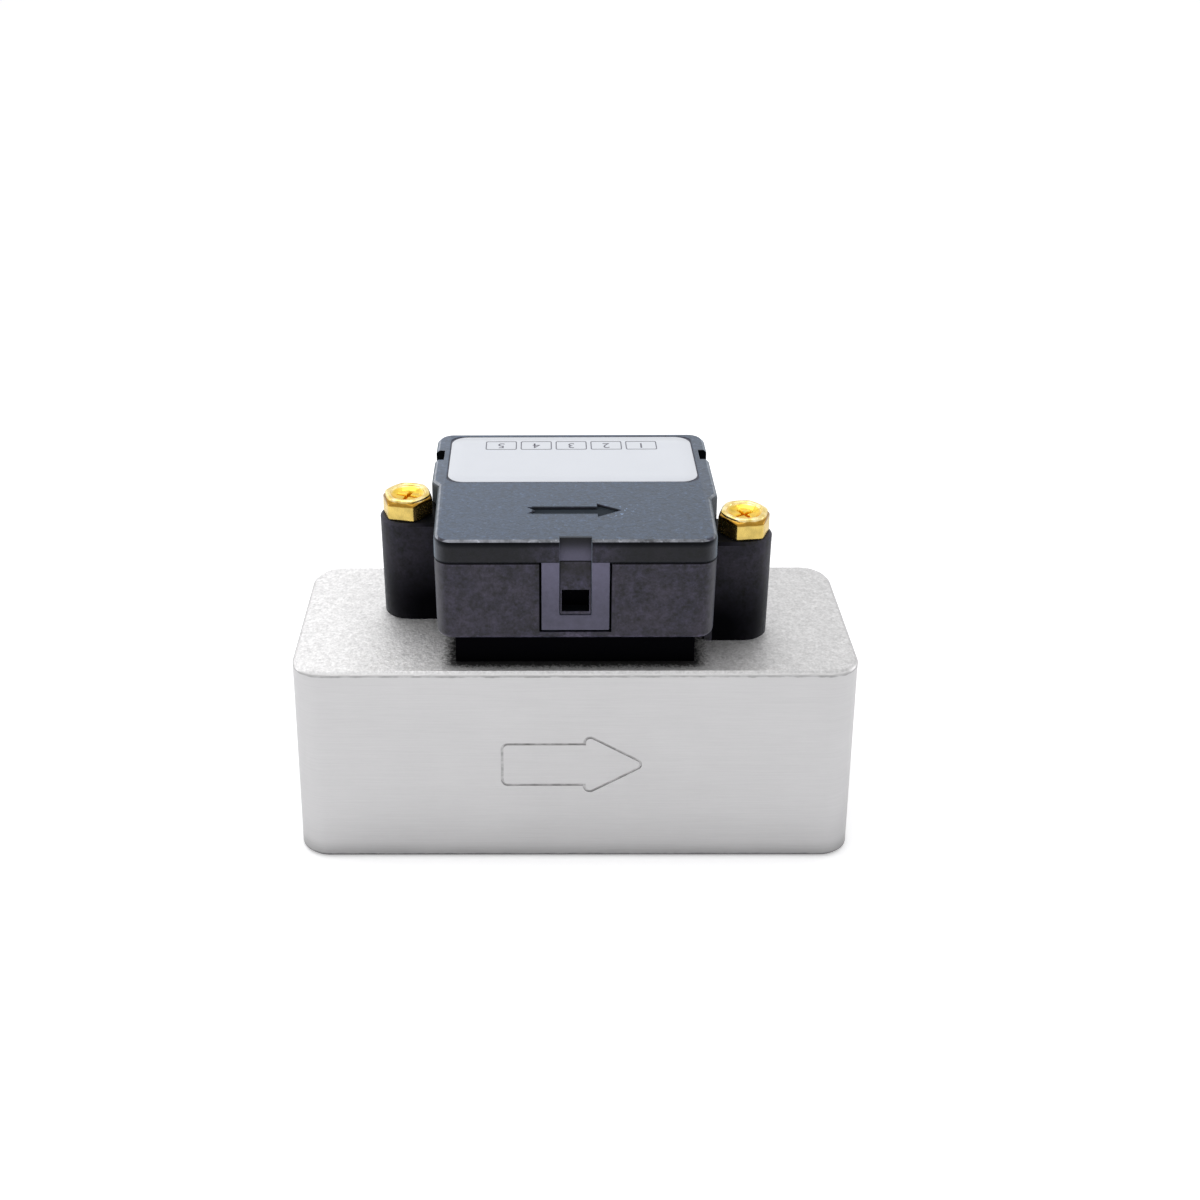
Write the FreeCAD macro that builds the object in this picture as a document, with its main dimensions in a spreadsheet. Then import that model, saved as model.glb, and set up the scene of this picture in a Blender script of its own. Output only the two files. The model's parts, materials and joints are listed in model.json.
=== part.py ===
import FreeCAD, Part
import math
import os
import Sketcher

# Gas mass flow sensor, in millimetres. X runs with the gas, from inlet to outlet, and Z is up.
# The origin is the middle of the flow block's base. The front, with the snap latch, faces -Y,
# and the electrical connector faces +Y.

SIZES = {
    # Aluminium flow block
    "block_length": 65.0,
    "block_depth": 25.0,
    "block_height": 25.0,
    "block_corner": 3.5,
    "block_edge": 0.4,
    # Gas ports, G1/4 at the thread's core, and the passage between them
    "port_radius": 5.72,
    "port_depth": 10.6,
    "port_mouth": 0.9,
    "screen_seat_radius": 5.3,
    "passage_radius": 4.5,
    # Taps that lead a small share of the gas past the sensor
    "tap_radius": 0.9,
    "tap_spacing": 18.0,
    "seal_radius": 2.9,
    "seal_hole": 1.4,
    "seal_thick": 1.3,
    "seal_clearance": 0.1,
    # Tapped holes in the base
    "base_hole_radius": 1.65,
    "base_hole_depth": 6.0,
    "base_hole_spacing": 30.0,
    # Flow arrow on the block's front, a shallow engraved line
    "block_arrow_length": 17.1,
    "block_arrow_shaft": 5.8,
    "block_arrow_head": 8.7,
    "block_arrow_head_length": 7.6,
    "block_arrow_height": 12.8,
    "block_arrow_round": 0.8,
    "arrow_line": 0.3,
    "arrow_line_depth": 0.2,
    # Laminar flow element
    "element_length": 13.0,
    "element_clearance": 0.04,
    "element_cell": 2.1,
    "element_cell_wall": 0.35,
    # Honeycomb screens in their seats behind the port threads
    "screen_thick": 0.3,
    "screen_cell": 2.3,
    "screen_cell_wall": 0.4,
    "cell_border": 0.25,
    "ring_thick": 1.1,
    "ring_hole": 4.5,
    "ring_clearance": 0.03,
    # Sensor case
    "case_gap": 3.5,
    "case_height": 9.8,
    "case_front": 11.4,
    "case_rear": 18.2,
    "case_front_half": 15.8,
    "waist_flare": 0.3,
    "shoulder_step": 0.8,
    "left_shoulder": 4.3,
    "right_shoulder": 0.5,
    "shoulder_slope": 1.2,
    "case_corner": 2.0,
    "case_foot_edge": 0.8,
    "case_draft": 1.0,
    "wall": 1.6,
    "front_wall": 2.2,
    "floor": 1.5,
    "pedestal_side_inset": 2.2,
    "pedestal_front_inset": 1.3,
    "pedestal_rear_margin": 1.5,
    # Ears and their screws
    "screw_reach": 3.6,
    "screw_y": 2.5,
    "ear_radius": 3.3,
    "ear_height": 12.75,
    "ear_draft": 1.0,
    "ear_edge": 0.3,
    "screw_hole_radius": 1.7,
    "screw_radius": 1.5,
    "screw_length": 18.25,
    "screw_tip_gap": 0.5,
    "thread_clearance": 0.04,
    "head_flats": 5.5,
    "head_height": 2.68,
    "head_top_radius": 2.62,
    "head_bevel_slope": 1.6,
    "head_dish_radius": 1.95,
    "head_dish_floor": 1.4,
    "head_dish_depth": 0.55,
    "cross_width": 0.55,
    "cross_length": 2.7,
    "cross_depth": 1.4,
    # Lid
    "lid_height": 2.7,
    "lid_top": 1.5,
    "lid_edge": 0.4,
    "lip_depth": 1.4,
    "lip_thick": 0.9,
    "lip_clearance": 0.15,
    "notch_front": 10.3,
    "notch_length": 2.8,
    "notch_depth": 1.1,
    "notch_case_depth": 2.0,
    # Snap latch
    "latch_width": 7.6,
    "latch_window": 3.6,
    "latch_thick": 0.85,
    "latch_inset": 0.15,
    "latch_bar": 1.9,
    "latch_length": 8.55,
    "latch_clearance": 0.27,
    "catch_clearance": 0.1,
    "catch_height": 6.3,
    "catch_rise": 0.6,
    "catch_land": 3.2,
    "catch_pocket_width": 3.1,
    "catch_pocket_height": 2.75,
    "catch_pocket_depth": 1.6,
    "catch_pocket_sill": 0.3,
    "channel_depth_top": 0.83,
    "channel_depth_foot": 0.45,
    # Flow arrow in the lid
    "lid_arrow_length": 10.9,
    "lid_arrow_shaft": 1.6,
    "lid_arrow_head": 3.4,
    "lid_arrow_head_length": 2.8,
    "lid_arrow_notch": 0.9,
    "lid_arrow_front": 3.75,
    "lid_arrow_depth": 0.3,
    # Label and the shallow seat it lies in
    "label_side_margin": 1.85,
    "label_depth": 13.2,
    "label_thick": 0.1,
    "label_corner": 2.0,
    "label_rear": 17.1,
    "label_seat_border": 0.15,
    "label_seat_corner": 1.4,
    "label_seat_depth": 0.1,
    # Sensor gasket, board and chip
    "gasket_thick": 0.8,
    "gasket_width": 5.4,
    "gasket_margin": 2.2,
    "gasket_corner": 0.9,
    "channel_width": 1.9,
    "channel_corner": 0.9,
    "board_thick": 1.6,
    "board_gap": 0.3,
    "chip_length": 2.4,
    "chip_width": 1.4,
    "chip_thick": 0.4,
    "board_screw_margin": 2.8,
    "board_screw_y": 6.2,
    "board_screw_radius": 1.0,
    "board_screw_length": 5.6,
    "board_screw_head": 1.9,
    "board_screw_head_height": 1.3,
    "board_screw_flats": 1.5,
    "board_hole_clearance": 0.12,
    "boss_radius": 2.2,
    # Electronic parts on the board
    "processor_length": 9.9,
    "processor_width": 3.9,
    "processor_height": 1.6,
    "processor_rear": 0.0,
    "processor_leads": 8,
    "package_standoff": 0.15,
    "lead_pitch": 1.27,
    "lead_width": 0.42,
    "lead_height": 0.7,
    "lead_reach": 1.05,
    "regulator_length": 4.5,
    "regulator_width": 2.5,
    "regulator_height": 1.5,
    "regulator_margin": 4.3,
    "regulator_front": 2.0,
    "regulator_pitch": 1.5,
    "part_clearance": 0.75,
    "part_row_pitch": 1.25,
    "capacitor_length": 3.2,
    "capacitor_width": 1.6,
    "capacitor_height": 1.5,
    "resistor_length": 2.0,
    "resistor_width": 1.25,
    "resistor_height": 0.55,
    # Connector
    "pin_count": 5,
    "pin_pitch": 2.5,
    "pin_size": 0.64,
    "pin_hole_clearance": 0.13,
    "pin_drop_gap": 1.2,
    "pin_setback": 1.6,
    "pin_tail": 0.4,
    "connector_margin": 2.45,
    "connector_height": 5.7,
    "connector_length": 10.6,
    "connector_wall": 0.7,
    "connector_back": 2.6,
    "connector_key_place": 3.75,
    "connector_key_width": 1.0,
    "connector_key_step": 0.15,
    "connector_inset": 0.1,
    "connector_window_gap": 0.12,
}

doc = FreeCAD.newDocument("GasMassFlowSensor")
sheet = doc.addObject("Spreadsheet::Sheet", "sizes")
for row, (alias, length) in enumerate(SIZES.items(), start=1):
    sheet.set(f"A{row}", alias)
    sheet.set(f"B{row}", str(length))
    sheet.setAlias(f"B{row}", alias)
doc.recompute()

# Heights and places that several pieces share, worked out from the sizes
BLOCK_TOP = "sizes.block_height"
PORT_AXIS = "sizes.block_height / 2"
SEAT_END = "(sizes.port_depth + sizes.screen_thick + sizes.ring_thick)"
PORT_END = f"(sizes.block_length / 2 - {SEAT_END})"
CASE_FOOT = "(sizes.block_height + sizes.case_gap)"
FLOOR_TOP = f"({CASE_FOOT} + sizes.floor)"
PARTING = f"({CASE_FOOT} + sizes.case_height)"
LID_TOP = f"({PARTING} + sizes.lid_height)"
LID_INSIDE = f"({LID_TOP} - sizes.lid_top)"
EAR_TOP = "(sizes.block_height + sizes.ear_height)"
BOARD_FOOT = f"({FLOOR_TOP} + sizes.gasket_thick)"
BOARD_TOP = f"({BOARD_FOOT} + sizes.board_thick)"
WAIST_HALF = "(sizes.case_front_half + sizes.waist_flare)"
REAR_HALF = f"({WAIST_HALF} + sizes.shoulder_step)"
SCREW_X = f"({WAIST_HALF} + sizes.screw_reach)"
LABEL_HALF = f"({REAR_HALF} - sizes.label_side_margin)"
INSIDE_HALF = "(sizes.case_front_half - sizes.wall)"
BOARD_SCREW_X = f"({INSIDE_HALF} - sizes.board_screw_margin)"
INSIDE_FRONT = "(sizes.case_front - sizes.front_wall)"
INSIDE_REAR = "(sizes.case_rear - sizes.wall)"
LATCH_FACE = "(sizes.case_front - sizes.latch_inset)"
LATCH_BACK = f"({LATCH_FACE} - sizes.latch_thick)"
LATCH_FOOT = f"({PARTING} - sizes.latch_length)"
LATCH_SEAT = f"({LATCH_BACK} - sizes.latch_inset)"
CONNECTOR_HALF = "(sizes.pin_pitch * (sizes.pin_count - 1) / 2 + sizes.connector_margin)"
CONNECTOR_MOUTH = "(sizes.case_rear - sizes.connector_inset)"
CONNECTOR_BACK = f"({CONNECTOR_MOUTH} - sizes.connector_length)"
PIN_AXIS = f"({BOARD_TOP} + sizes.connector_height / 2)"
SCREW_SIDES = {"left": -1, "right": 1}
HEAD_TURNS = {"left": 47, "right": 8}
PAST = 1.0


def number(expression):
    """The value of an expression on the sheet's sizes."""
    return float(sheet.evalExpression(str(expression)))


def bind(thing, **places):
    """Ties properties to expressions; x, y and z are the piece's place."""
    names = {"x": "Placement.Base.x", "y": "Placement.Base.y", "z": "Placement.Base.z"}
    for name, expression in places.items():
        thing.setExpression(names.get(name, name), str(expression))
    return thing


def body(name, label):
    made = doc.addObject("PartDesign::Body", name)
    made.Label = label
    return made


def sketch(owner, name, plane="XY_Plane", offset="0"):
    """A sketch on one of the body's own planes, moved along the plane's normal."""
    made = owner.newObject("Sketcher::SketchObject", name)
    support = next(f for f in owner.Origin.OriginFeatures if f.Role == plane)
    made.AttachmentSupport = (support, [""])
    made.MapMode = "FlatFace"
    made.setExpression("AttachmentOffset.Base.z", str(offset))
    return made


def tie(made, kind, *where, to):
    """Adds a dimension to a sketch and ties it to an expression."""
    index = made.addConstraint(Sketcher.Constraint(kind, *where, number(to)))
    made.setExpression(f"Constraints[{index}]", str(to))


def tie_point(made, curve, end, x, y):
    tie(made, "DistanceX", -1, 1, curve, end, to=x)
    tie(made, "DistanceY", -1, 1, curve, end, to=y)


def polygon(made, corners):
    """A closed outline with a pair of expressions for each corner."""
    first = made.GeometryCount
    places = [FreeCAD.Vector(number(x), number(y), 0) for x, y in corners]
    for start, end in zip(places, places[1:] + places[:1]):
        made.addGeometry(Part.LineSegment(start, end), False)
    for i, (x, y) in enumerate(corners):
        following = first + (i + 1) % len(corners)
        made.addConstraint(Sketcher.Constraint("Coincident", first + i, 2, following, 1))
        tie_point(made, first + i, 1, x, y)


def rectangle(made, left, front, right, rear):
    polygon(made, [(left, front), (right, front), (right, rear), (left, rear)])


def circle(made, x, y, radius):
    centre = FreeCAD.Vector(number(x), number(y), 0)
    index = made.addGeometry(Part.Circle(centre, FreeCAD.Vector(0, 0, 1), number(radius)), False)
    tie(made, "Radius", index, to=radius)
    tie_point(made, index, 3, x, y)


def arc(made, x, y, radius, start, turn):
    """An arc about a tied centre, from an angle in degrees, anticlockwise."""
    centre = FreeCAD.Vector(number(x), number(y), 0)
    round_line = Part.Circle(centre, FreeCAD.Vector(0, 0, 1), number(radius))
    index = made.addGeometry(
        Part.ArcOfCircle(round_line, math.radians(start), math.radians(start + turn)), False)
    tie(made, "Radius", index, to=radius)
    tie_point(made, index, 3, x, y)
    for end, angle in ((1, start), (2, start + turn)):
        along_y = round(math.sin(math.radians(angle)))
        if along_y:
            tie(made, "DistanceX", -1, 1, index, end, to=x)
        else:
            tie(made, "DistanceY", -1, 1, index, end, to=y)
    return index


def join_arcs(made, arcs):
    """Straight lines from the end of each arc to the start of the next."""
    for before, after in zip(arcs, arcs[1:] + arcs[:1]):
        start = made.getPoint(before, 2)
        end = made.getPoint(after, 1)
        line = made.addGeometry(Part.LineSegment(start, end), False)
        made.addConstraint(Sketcher.Constraint("Coincident", before, 2, line, 1))
        made.addConstraint(Sketcher.Constraint("Coincident", line, 2, after, 1))


def rounded_rectangle(made, half_width, front, rear, corner):
    """A rectangle about X = 0 whose corners are quarter circles."""
    right = f"({half_width}) - ({corner})"
    left = f"-({right})"
    near, far = f"({front}) + ({corner})", f"({rear}) - ({corner})"
    corners = ((right, far, 0), (left, far, 90), (left, near, 180), (right, near, 270))
    join_arcs(made, [arc(made, x, y, corner, angle, 90) for x, y, angle in corners])


def pad(owner, name, profile, length, **settings):
    made = owner.newObject("PartDesign::Pad", name)
    made.Profile = profile
    for key, setting in settings.items():
        setattr(made, key, setting)
    made.setExpression("Length", str(length))
    doc.recompute()
    return made


def pocket(owner, name, profile, length, **settings):
    """A cut from a sketch; it has to take material away."""
    before = owner.Tip.Shape.Volume
    made = owner.newObject("PartDesign::Pocket", name)
    made.Profile = profile
    for key, setting in settings.items():
        setattr(made, key, setting)
    if length is None:
        made.Type = "ThroughAll"
    else:
        made.setExpression("Length", str(length))
    doc.recompute()
    if not made.Shape.Volume < before:
        raise RuntimeError(f"{name} cuts nothing")
    return made


def edges(feature, test):
    """The names of a feature's edges that pass a test."""
    return [f"Edge{i}" for i, edge in enumerate(feature.Shape.Edges, start=1) if test(edge)]


def dress(owner, kind, name, base, names, size):
    """A fillet or a chamfer on the named edges."""
    made = owner.newObject(f"PartDesign::{kind}", name)
    made.Base = (base, names)
    made.setExpression("Radius" if kind == "Fillet" else "Size", str(size))
    doc.recompute()
    return made


def upright(edge):
    """True for an edge that climbs more than it travels."""
    box = edge.BoundBox
    return box.ZLength > 3 * max(box.XLength, box.YLength)


def level_at(height):
    """A test for edges that lie at one height."""
    def test(edge):
        box = edge.BoundBox
        return max(abs(box.ZMin - height), abs(box.ZMax - height)) < 1e-4
    return test


def cylinder(name, radius, height, x="0", y="0", z="0", along="Z"):
    made = doc.addObject("Part::Cylinder", name)
    turns = {"X": (FreeCAD.Vector(0, 1, 0), 90), "Z": (FreeCAD.Vector(0, 0, 1), 0)}
    made.Placement.Rotation = FreeCAD.Rotation(*turns[along])
    return bind(made, Radius=radius, Height=height, x=x, y=y, z=z)


def block(name, length, width, height, x, y, z):
    made = doc.addObject("Part::Box", name)
    return bind(made, Length=length, Width=width, Height=height, x=x, y=y, z=z)


def cut(name, base, tool):
    made = doc.addObject("Part::Cut", name)
    made.Base = base
    made.Tool = tool
    return made


def common(name, base, tool):
    made = doc.addObject("Part::Common", name)
    made.Base = base
    made.Tool = tool
    return made


def fuse(name, shapes):
    made = doc.addObject("Part::MultiFuse", name)
    made.Shapes = shapes
    return made


def group(name, pieces):
    """Separate solids that share one node."""
    made = doc.addObject("Part::Compound", name)
    made.Links = pieces
    return made


def label(piece, name):
    piece.Label = name
    return piece


# Outline of the case and lid: narrow in front between the ears, wide behind its two shoulders
def housing_outline(made):
    front, rear = "-sizes.case_front", "sizes.case_rear"
    narrow, waist, wide = "sizes.case_front_half", WAIST_HALF, REAR_HALF
    polygon(made, [
        (f"-{narrow}", front), (narrow, front),
        (waist, "sizes.right_shoulder - sizes.shoulder_slope"), (wide, "sizes.right_shoulder"),
        (wide, rear), (f"-{wide}", rear),
        (f"-{wide}", "sizes.left_shoulder"),
        (f"-{waist}", "sizes.left_shoulder - sizes.shoulder_slope"),
    ])


def at_outline_corner(edge):
    """True for the upright edges at the four outer corners of the housing."""
    centre = edge.BoundBox.Center
    ends = abs(centre.y + number("sizes.case_front")), abs(centre.y - number("sizes.case_rear"))
    return upright(edge) and min(ends) < number("sizes.wall") / 2


# An arrow that points along +X, as corners from the tail round to the tip. An inset moves every
# side inwards by the same distance.
def arrow_corners(middle, across, length, shaft, head, head_length, inset="0", notch="0"):
    tip, tail = f"({middle}) + {length} / 2", f"({middle}) - {length} / 2"
    base = f"({tip}) - {head_length} + {inset}"
    slope = f"({head} / (2 * {head_length}))"
    back = f"({head} / 2 - {inset} * ({slope} + sqrt(1 + {slope} ^ 2)))"
    half = f"({shaft} / 2 - {inset})"
    return [
        (f"{tail} + {inset}", f"({across}) - {half}"),
        (base, f"({across}) - {half}"),
        (base, f"({across}) - {back}"),
        (f"{tip} - {inset} * sqrt(1 + 1 / {slope} ^ 2)", across),
        (base, f"({across}) + {back}"),
        (base, f"({across}) + {half}"),
        (f"{tail} + {inset}", f"({across}) + {half}"),
    ] + ([(f"{tail} + {notch}", across)] if notch != "0" else [])


# Flow block: a bar with rounded upright corners, two ports, a passage, two taps and tapped holes
def make_flow_block():
    owner = body("FlowBlock", "flow_block")
    plan = sketch(owner, "BlockPlan")
    rounded_rectangle(plan, "sizes.block_length / 2", "-sizes.block_depth / 2",
                      "sizes.block_depth / 2", "sizes.block_corner")
    bar = pad(owner, "BlockBar", plan, "sizes.block_height")
    rims = edges(bar, level_at(number(BLOCK_TOP))) + edges(bar, level_at(0.0))
    dress(owner, "Chamfer", "BlockEdges", bar, rims, "sizes.block_edge")

    half = "sizes.block_length / 2"
    for side, start, flip in (("Inlet", f"-{half}", False), ("Outlet", half, True)):
        seat = sketch(owner, f"{side}Seat", "YZ_Plane", start)
        circle(seat, "0", PORT_AXIS, "sizes.screen_seat_radius")
        pocket(owner, f"{side}SeatBore", seat, SEAT_END, Reversed=not flip)
        mouth = sketch(owner, f"{side}Port", "YZ_Plane", start)
        circle(mouth, "0", PORT_AXIS, "sizes.port_radius")
        port = pocket(owner, f"{side}Bore", mouth, "sizes.port_depth", Reversed=not flip)
        plane = number(start)
        rim = edges(port, lambda e: isinstance(e.Curve, Part.Circle)
                    and abs(e.Curve.Radius - number("sizes.port_radius")) < 1e-4
                    and abs(e.BoundBox.Center.x - plane) < 1e-4)
        dress(owner, "Chamfer", f"{side}Mouth", port, rim, "sizes.port_mouth")
    through = sketch(owner, "Passage", "YZ_Plane", f"-{PORT_END} - {PAST}")
    circle(through, "0", PORT_AXIS, "sizes.passage_radius")
    pocket(owner, "PassageBore", through, f"2 * ({PORT_END} + {PAST})", Reversed=True)

    taps = sketch(owner, "Taps", offset=BLOCK_TOP)
    seats = sketch(owner, "SealSeats", offset=BLOCK_TOP)
    for side in ("-", ""):
        circle(taps, f"{side}sizes.tap_spacing / 2", "0", "sizes.tap_radius")
        circle(seats, f"{side}sizes.tap_spacing / 2", "0",
               "sizes.seal_radius + sizes.seal_clearance")
    pocket(owner, "TapBores", taps, "sizes.block_height / 2")
    pocket(owner, "SealSeatBores", seats, "sizes.seal_thick")

    screws = sketch(owner, "ScrewHoles", offset=BLOCK_TOP)
    for sign in SCREW_SIDES.values():
        circle(screws, f"{sign} * {SCREW_X}", f"{-sign} * sizes.screw_y", "sizes.screw_radius")
    pocket(owner, "ScrewBores", screws,
           "sizes.screw_length - sizes.ear_height + sizes.screw_tip_gap")

    feet = sketch(owner, "BaseHoles")
    for side in ("-", ""):
        circle(feet, f"{side}sizes.base_hole_spacing / 2", "0", "sizes.base_hole_radius")
    pocket(owner, "BaseBores", feet, "sizes.base_hole_depth", Reversed=True)
    engrave_block_arrow(owner)


def engrave_block_arrow(owner):
    """The arrow's outer and inner outline in one sketch, so that only the line is cut."""
    line = sketch(owner, "BlockArrow", "XZ_Plane", "sizes.block_depth / 2")
    shape = ("0", "sizes.block_arrow_height", "sizes.block_arrow_length",
             "sizes.block_arrow_shaft", "sizes.block_arrow_head",
             "sizes.block_arrow_head_length")
    polygon(line, arrow_corners(*shape))
    polygon(line, arrow_corners(*shape, inset="sizes.arrow_line"))
    groove = pocket(owner, "BlockArrowLine", line, "sizes.arrow_line_depth")

    def corners_of(inset):
        """A test for the corners of one outline, but for the two where shaft and head meet."""
        places = arrow_corners(*shape, inset=inset)
        kept = [(number(x), number(z)) for i, (x, z) in enumerate(places) if i not in (1, 5)]

        def test(edge):
            box = edge.BoundBox
            return (abs(box.YLength - number("sizes.arrow_line_depth")) < 1e-4
                    and box.YMax < 0 and min(
                        math.hypot(box.Center.x - x, box.Center.z - z) for x, z in kept) < 1e-3)
        return test

    outer = dress(owner, "Fillet", "BlockArrowOuter", groove, edges(groove, corners_of("0")),
                  "sizes.block_arrow_round")
    dress(owner, "Fillet", "BlockArrowInner", outer,
          edges(outer, corners_of("sizes.arrow_line")),
          "sizes.block_arrow_round - sizes.arrow_line")


def cell_places(pitch, reach):
    """Columns and rows of a close-packed field of cells that stays within a radius."""
    steps = range(-int(2 * reach / pitch), int(2 * reach / pitch) + 1)
    return [(column, row) for row in steps for column in steps
            if pitch * math.hypot(column + row / 2, row * math.sqrt(3) / 2) <= reach]


def honeycomb(name, radius, thick, start, cell, wall):
    """A disc across the passage with hexagonal cells; a cell is measured across its flats."""
    disc = cylinder(f"{name}Disc", radius, thick, x=start, z=PORT_AXIS, along="X")
    pitch, corner = f"({cell} + {wall})", f"({cell} / sqrt(3))"
    reach = number(f"{radius} - {corner} - sizes.cell_border")
    cells = []
    for i, (column, row) in enumerate(cell_places(number(pitch), reach)):
        made = doc.addObject("Part::Prism", f"{name}Cell{i}")
        made.Polygon = 6
        made.Placement.Rotation = FreeCAD.Rotation(FreeCAD.Vector(0, 1, 0), 90)
        cells.append(bind(
            made, Circumradius=corner, Height=f"{thick} + {2 * PAST}", x=f"{start} - {PAST}",
            y=f"{pitch} * ({column} + {row} / 2)", z=f"{PORT_AXIS} + {pitch} * {row} * sqrt(3) / 2"))
    return cut(f"{name}Honeycomb", disc, group(f"{name}Cells", cells))


def make_gas_path():
    element = honeycomb(
        "Element", "sizes.passage_radius - sizes.element_clearance", "sizes.element_length",
        "-sizes.element_length / 2", "sizes.element_cell", "sizes.element_cell_wall")
    label(element, "laminar_element")
    screen = "sizes.screen_thick"
    ring = "sizes.ring_thick"
    radius = "(sizes.screen_seat_radius - sizes.ring_clearance)"
    for side, at_screen, at_ring in (
            ("inlet", f"-{PORT_END} - {screen}", f"-{PORT_END} - {screen} - {ring}"),
            ("outlet", PORT_END, f"{PORT_END} + {screen}")):
        name = side.capitalize()
        disc = honeycomb(f"{name}Screen", radius, screen, at_screen,
                         "sizes.screen_cell", "sizes.screen_cell_wall")
        label(disc, f"{side}_screen")
        rim = cylinder(f"{name}RingRim", radius, ring, x=at_ring, z=PORT_AXIS, along="X")
        eye = cylinder(f"{name}RingEye", "sizes.ring_hole", f"{ring} + {2 * PAST}",
                       x=f"{at_ring} - {PAST}", z=PORT_AXIS, along="X")
        label(cut(f"{name}Ring", rim, eye), f"{side}_screen_ring")
        sign = "-" if side == "inlet" else ""
        place = f"{sign}sizes.tap_spacing / 2"
        foot = f"{BLOCK_TOP} - sizes.seal_thick"
        seal = cylinder(f"{name}SealRim", "sizes.seal_radius", "sizes.seal_thick",
                        x=place, z=foot)
        gap = cylinder(f"{name}SealEye", "sizes.seal_hole", f"sizes.seal_thick + {2 * PAST}",
                       x=place, z=f"{foot} - {PAST}")
        ring_cut = cut(f"{name}SealCut", seal, gap)
        label(ring_cut, f"{side}_tap_seal")


# Sensor case: an open box on a pedestal, with an ear for a screw at each side
def make_sensor_case():
    owner = body("SensorCase", "sensor_case")
    plan = sketch(owner, "CasePlan", offset=PARTING)
    housing_outline(plan)
    shell = pad(owner, "CaseShell", plan, "sizes.case_height", Reversed=True)
    drafted = owner.newObject("PartDesign::Draft", "CaseDraft")
    drafted.Base = (shell, [f"Face{i}" for i, face in enumerate(shell.Shape.Faces, start=1)
                            if abs(face.normalAt(0, 0).z) < 0.5])
    drafted.NeutralPlane = (plan, [""])
    drafted.Reversed = True
    drafted.setExpression("Angle", "sizes.case_draft")
    doc.recompute()
    rounds = dress(owner, "Fillet", "CaseCorners", drafted, edges(drafted, at_outline_corner),
                   "sizes.case_corner")
    dress(owner, "Fillet", "CaseFoot", rounds, edges(rounds, level_at(number(CASE_FOOT))),
          "sizes.case_foot_edge")

    foot = sketch(owner, "Pedestal", offset=BLOCK_TOP)
    half = "(sizes.case_front_half - sizes.pedestal_side_inset)"
    rectangle(foot, f"-{half}", "-(sizes.case_front - sizes.pedestal_front_inset)",
              half, "sizes.block_depth / 2 - sizes.pedestal_rear_margin")
    pad(owner, "PedestalPad", foot, "sizes.case_gap + sizes.floor / 2")
    add_ears(owner)

    inside = sketch(owner, "Inside", offset=PARTING)
    rectangle(inside, f"-{INSIDE_HALF}", f"-{INSIDE_FRONT}", INSIDE_HALF, INSIDE_REAR)
    pocket(owner, "InsideHollow", inside, "sizes.case_height - sizes.floor")
    add_catch(owner)

    window = sketch(owner, "ConnectorWindow", "XZ_Plane", f"-({INSIDE_REAR} - {PAST})")
    gap = "sizes.connector_window_gap"
    rectangle(window, f"-{CONNECTOR_HALF} - {gap}", f"{BOARD_TOP} - {gap}",
              f"{CONNECTOR_HALF} + {gap}", f"{PARTING} + {PAST}")
    pocket(owner, "ConnectorCut", window, f"sizes.wall + {2 * PAST}")

    channels = sketch(owner, "Channels", offset=FLOOR_TOP)
    for side in ("-", ""):
        circle(channels, f"{side}sizes.tap_spacing / 2", "0", "sizes.tap_radius")
    pocket(owner, "ChannelBores", channels, f"sizes.floor + sizes.case_gap + {PAST}")
    add_board_bosses(owner)

    slots = sketch(owner, "CaseNotches", offset=PARTING)
    notch_outlines(slots)
    pocket(owner, "CaseNotchCuts", slots, "sizes.notch_case_depth")


def add_ears(owner):
    """Each ear is a post with a round outer end, which narrows a little towards the block."""
    for side, sign in SCREW_SIDES.items():
        x, y = f"{sign} * {SCREW_X}", f"{-sign} * sizes.screw_y"
        plan = sketch(owner, f"{side.capitalize()}Ear", offset=EAR_TOP)
        end = arc(plan, x, y, "sizes.ear_radius", 90 if sign < 0 else -90, 180)
        root = f"{sign} * ({INSIDE_HALF} + sizes.wall / 2)"
        corners = [plan.getPoint(end, 2), plan.getPoint(end, 1)]
        inner = [FreeCAD.Vector(number(root), point.y, 0) for point in corners]
        lines = (Part.LineSegment(corners[0], inner[0]), Part.LineSegment(inner[0], inner[1]),
                 Part.LineSegment(inner[1], corners[1]))
        first = plan.GeometryCount
        for line in lines:
            plan.addGeometry(line, False)
        for pair in ((end, 2, first, 1), (first, 2, first + 1, 1),
                     (first + 1, 2, first + 2, 1), (first + 2, 2, end, 1)):
            plan.addConstraint(Sketcher.Constraint("Coincident", *pair))
        plan.addConstraint(Sketcher.Constraint("Horizontal", first))
        plan.addConstraint(Sketcher.Constraint("Horizontal", first + 2))
        plan.addConstraint(Sketcher.Constraint("Vertical", first + 1))
        tie(plan, "DistanceX", -1, 1, first, 2, to=root)
        post = pad(owner, f"{side.capitalize()}EarPost", plan, "sizes.ear_height", Reversed=True)
        post.setExpression("TaperAngle", "-sizes.ear_draft")
        doc.recompute()
        outer = number(REAR_HALF)
        rim = edges(post, lambda e: level_at(number(EAR_TOP))(e)
                    and abs(e.BoundBox.Center.x) > outer and e.BoundBox.Center.x * sign > 0)
        dress(owner, "Chamfer", f"{side.capitalize()}EarEdge", post, rim, "sizes.ear_edge")
        bore = sketch(owner, f"{side.capitalize()}EarHole", offset=EAR_TOP)
        circle(bore, x, y, "sizes.screw_hole_radius")
        pocket(owner, f"{side.capitalize()}EarBore", bore, f"sizes.ear_height + {PAST}")


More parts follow.
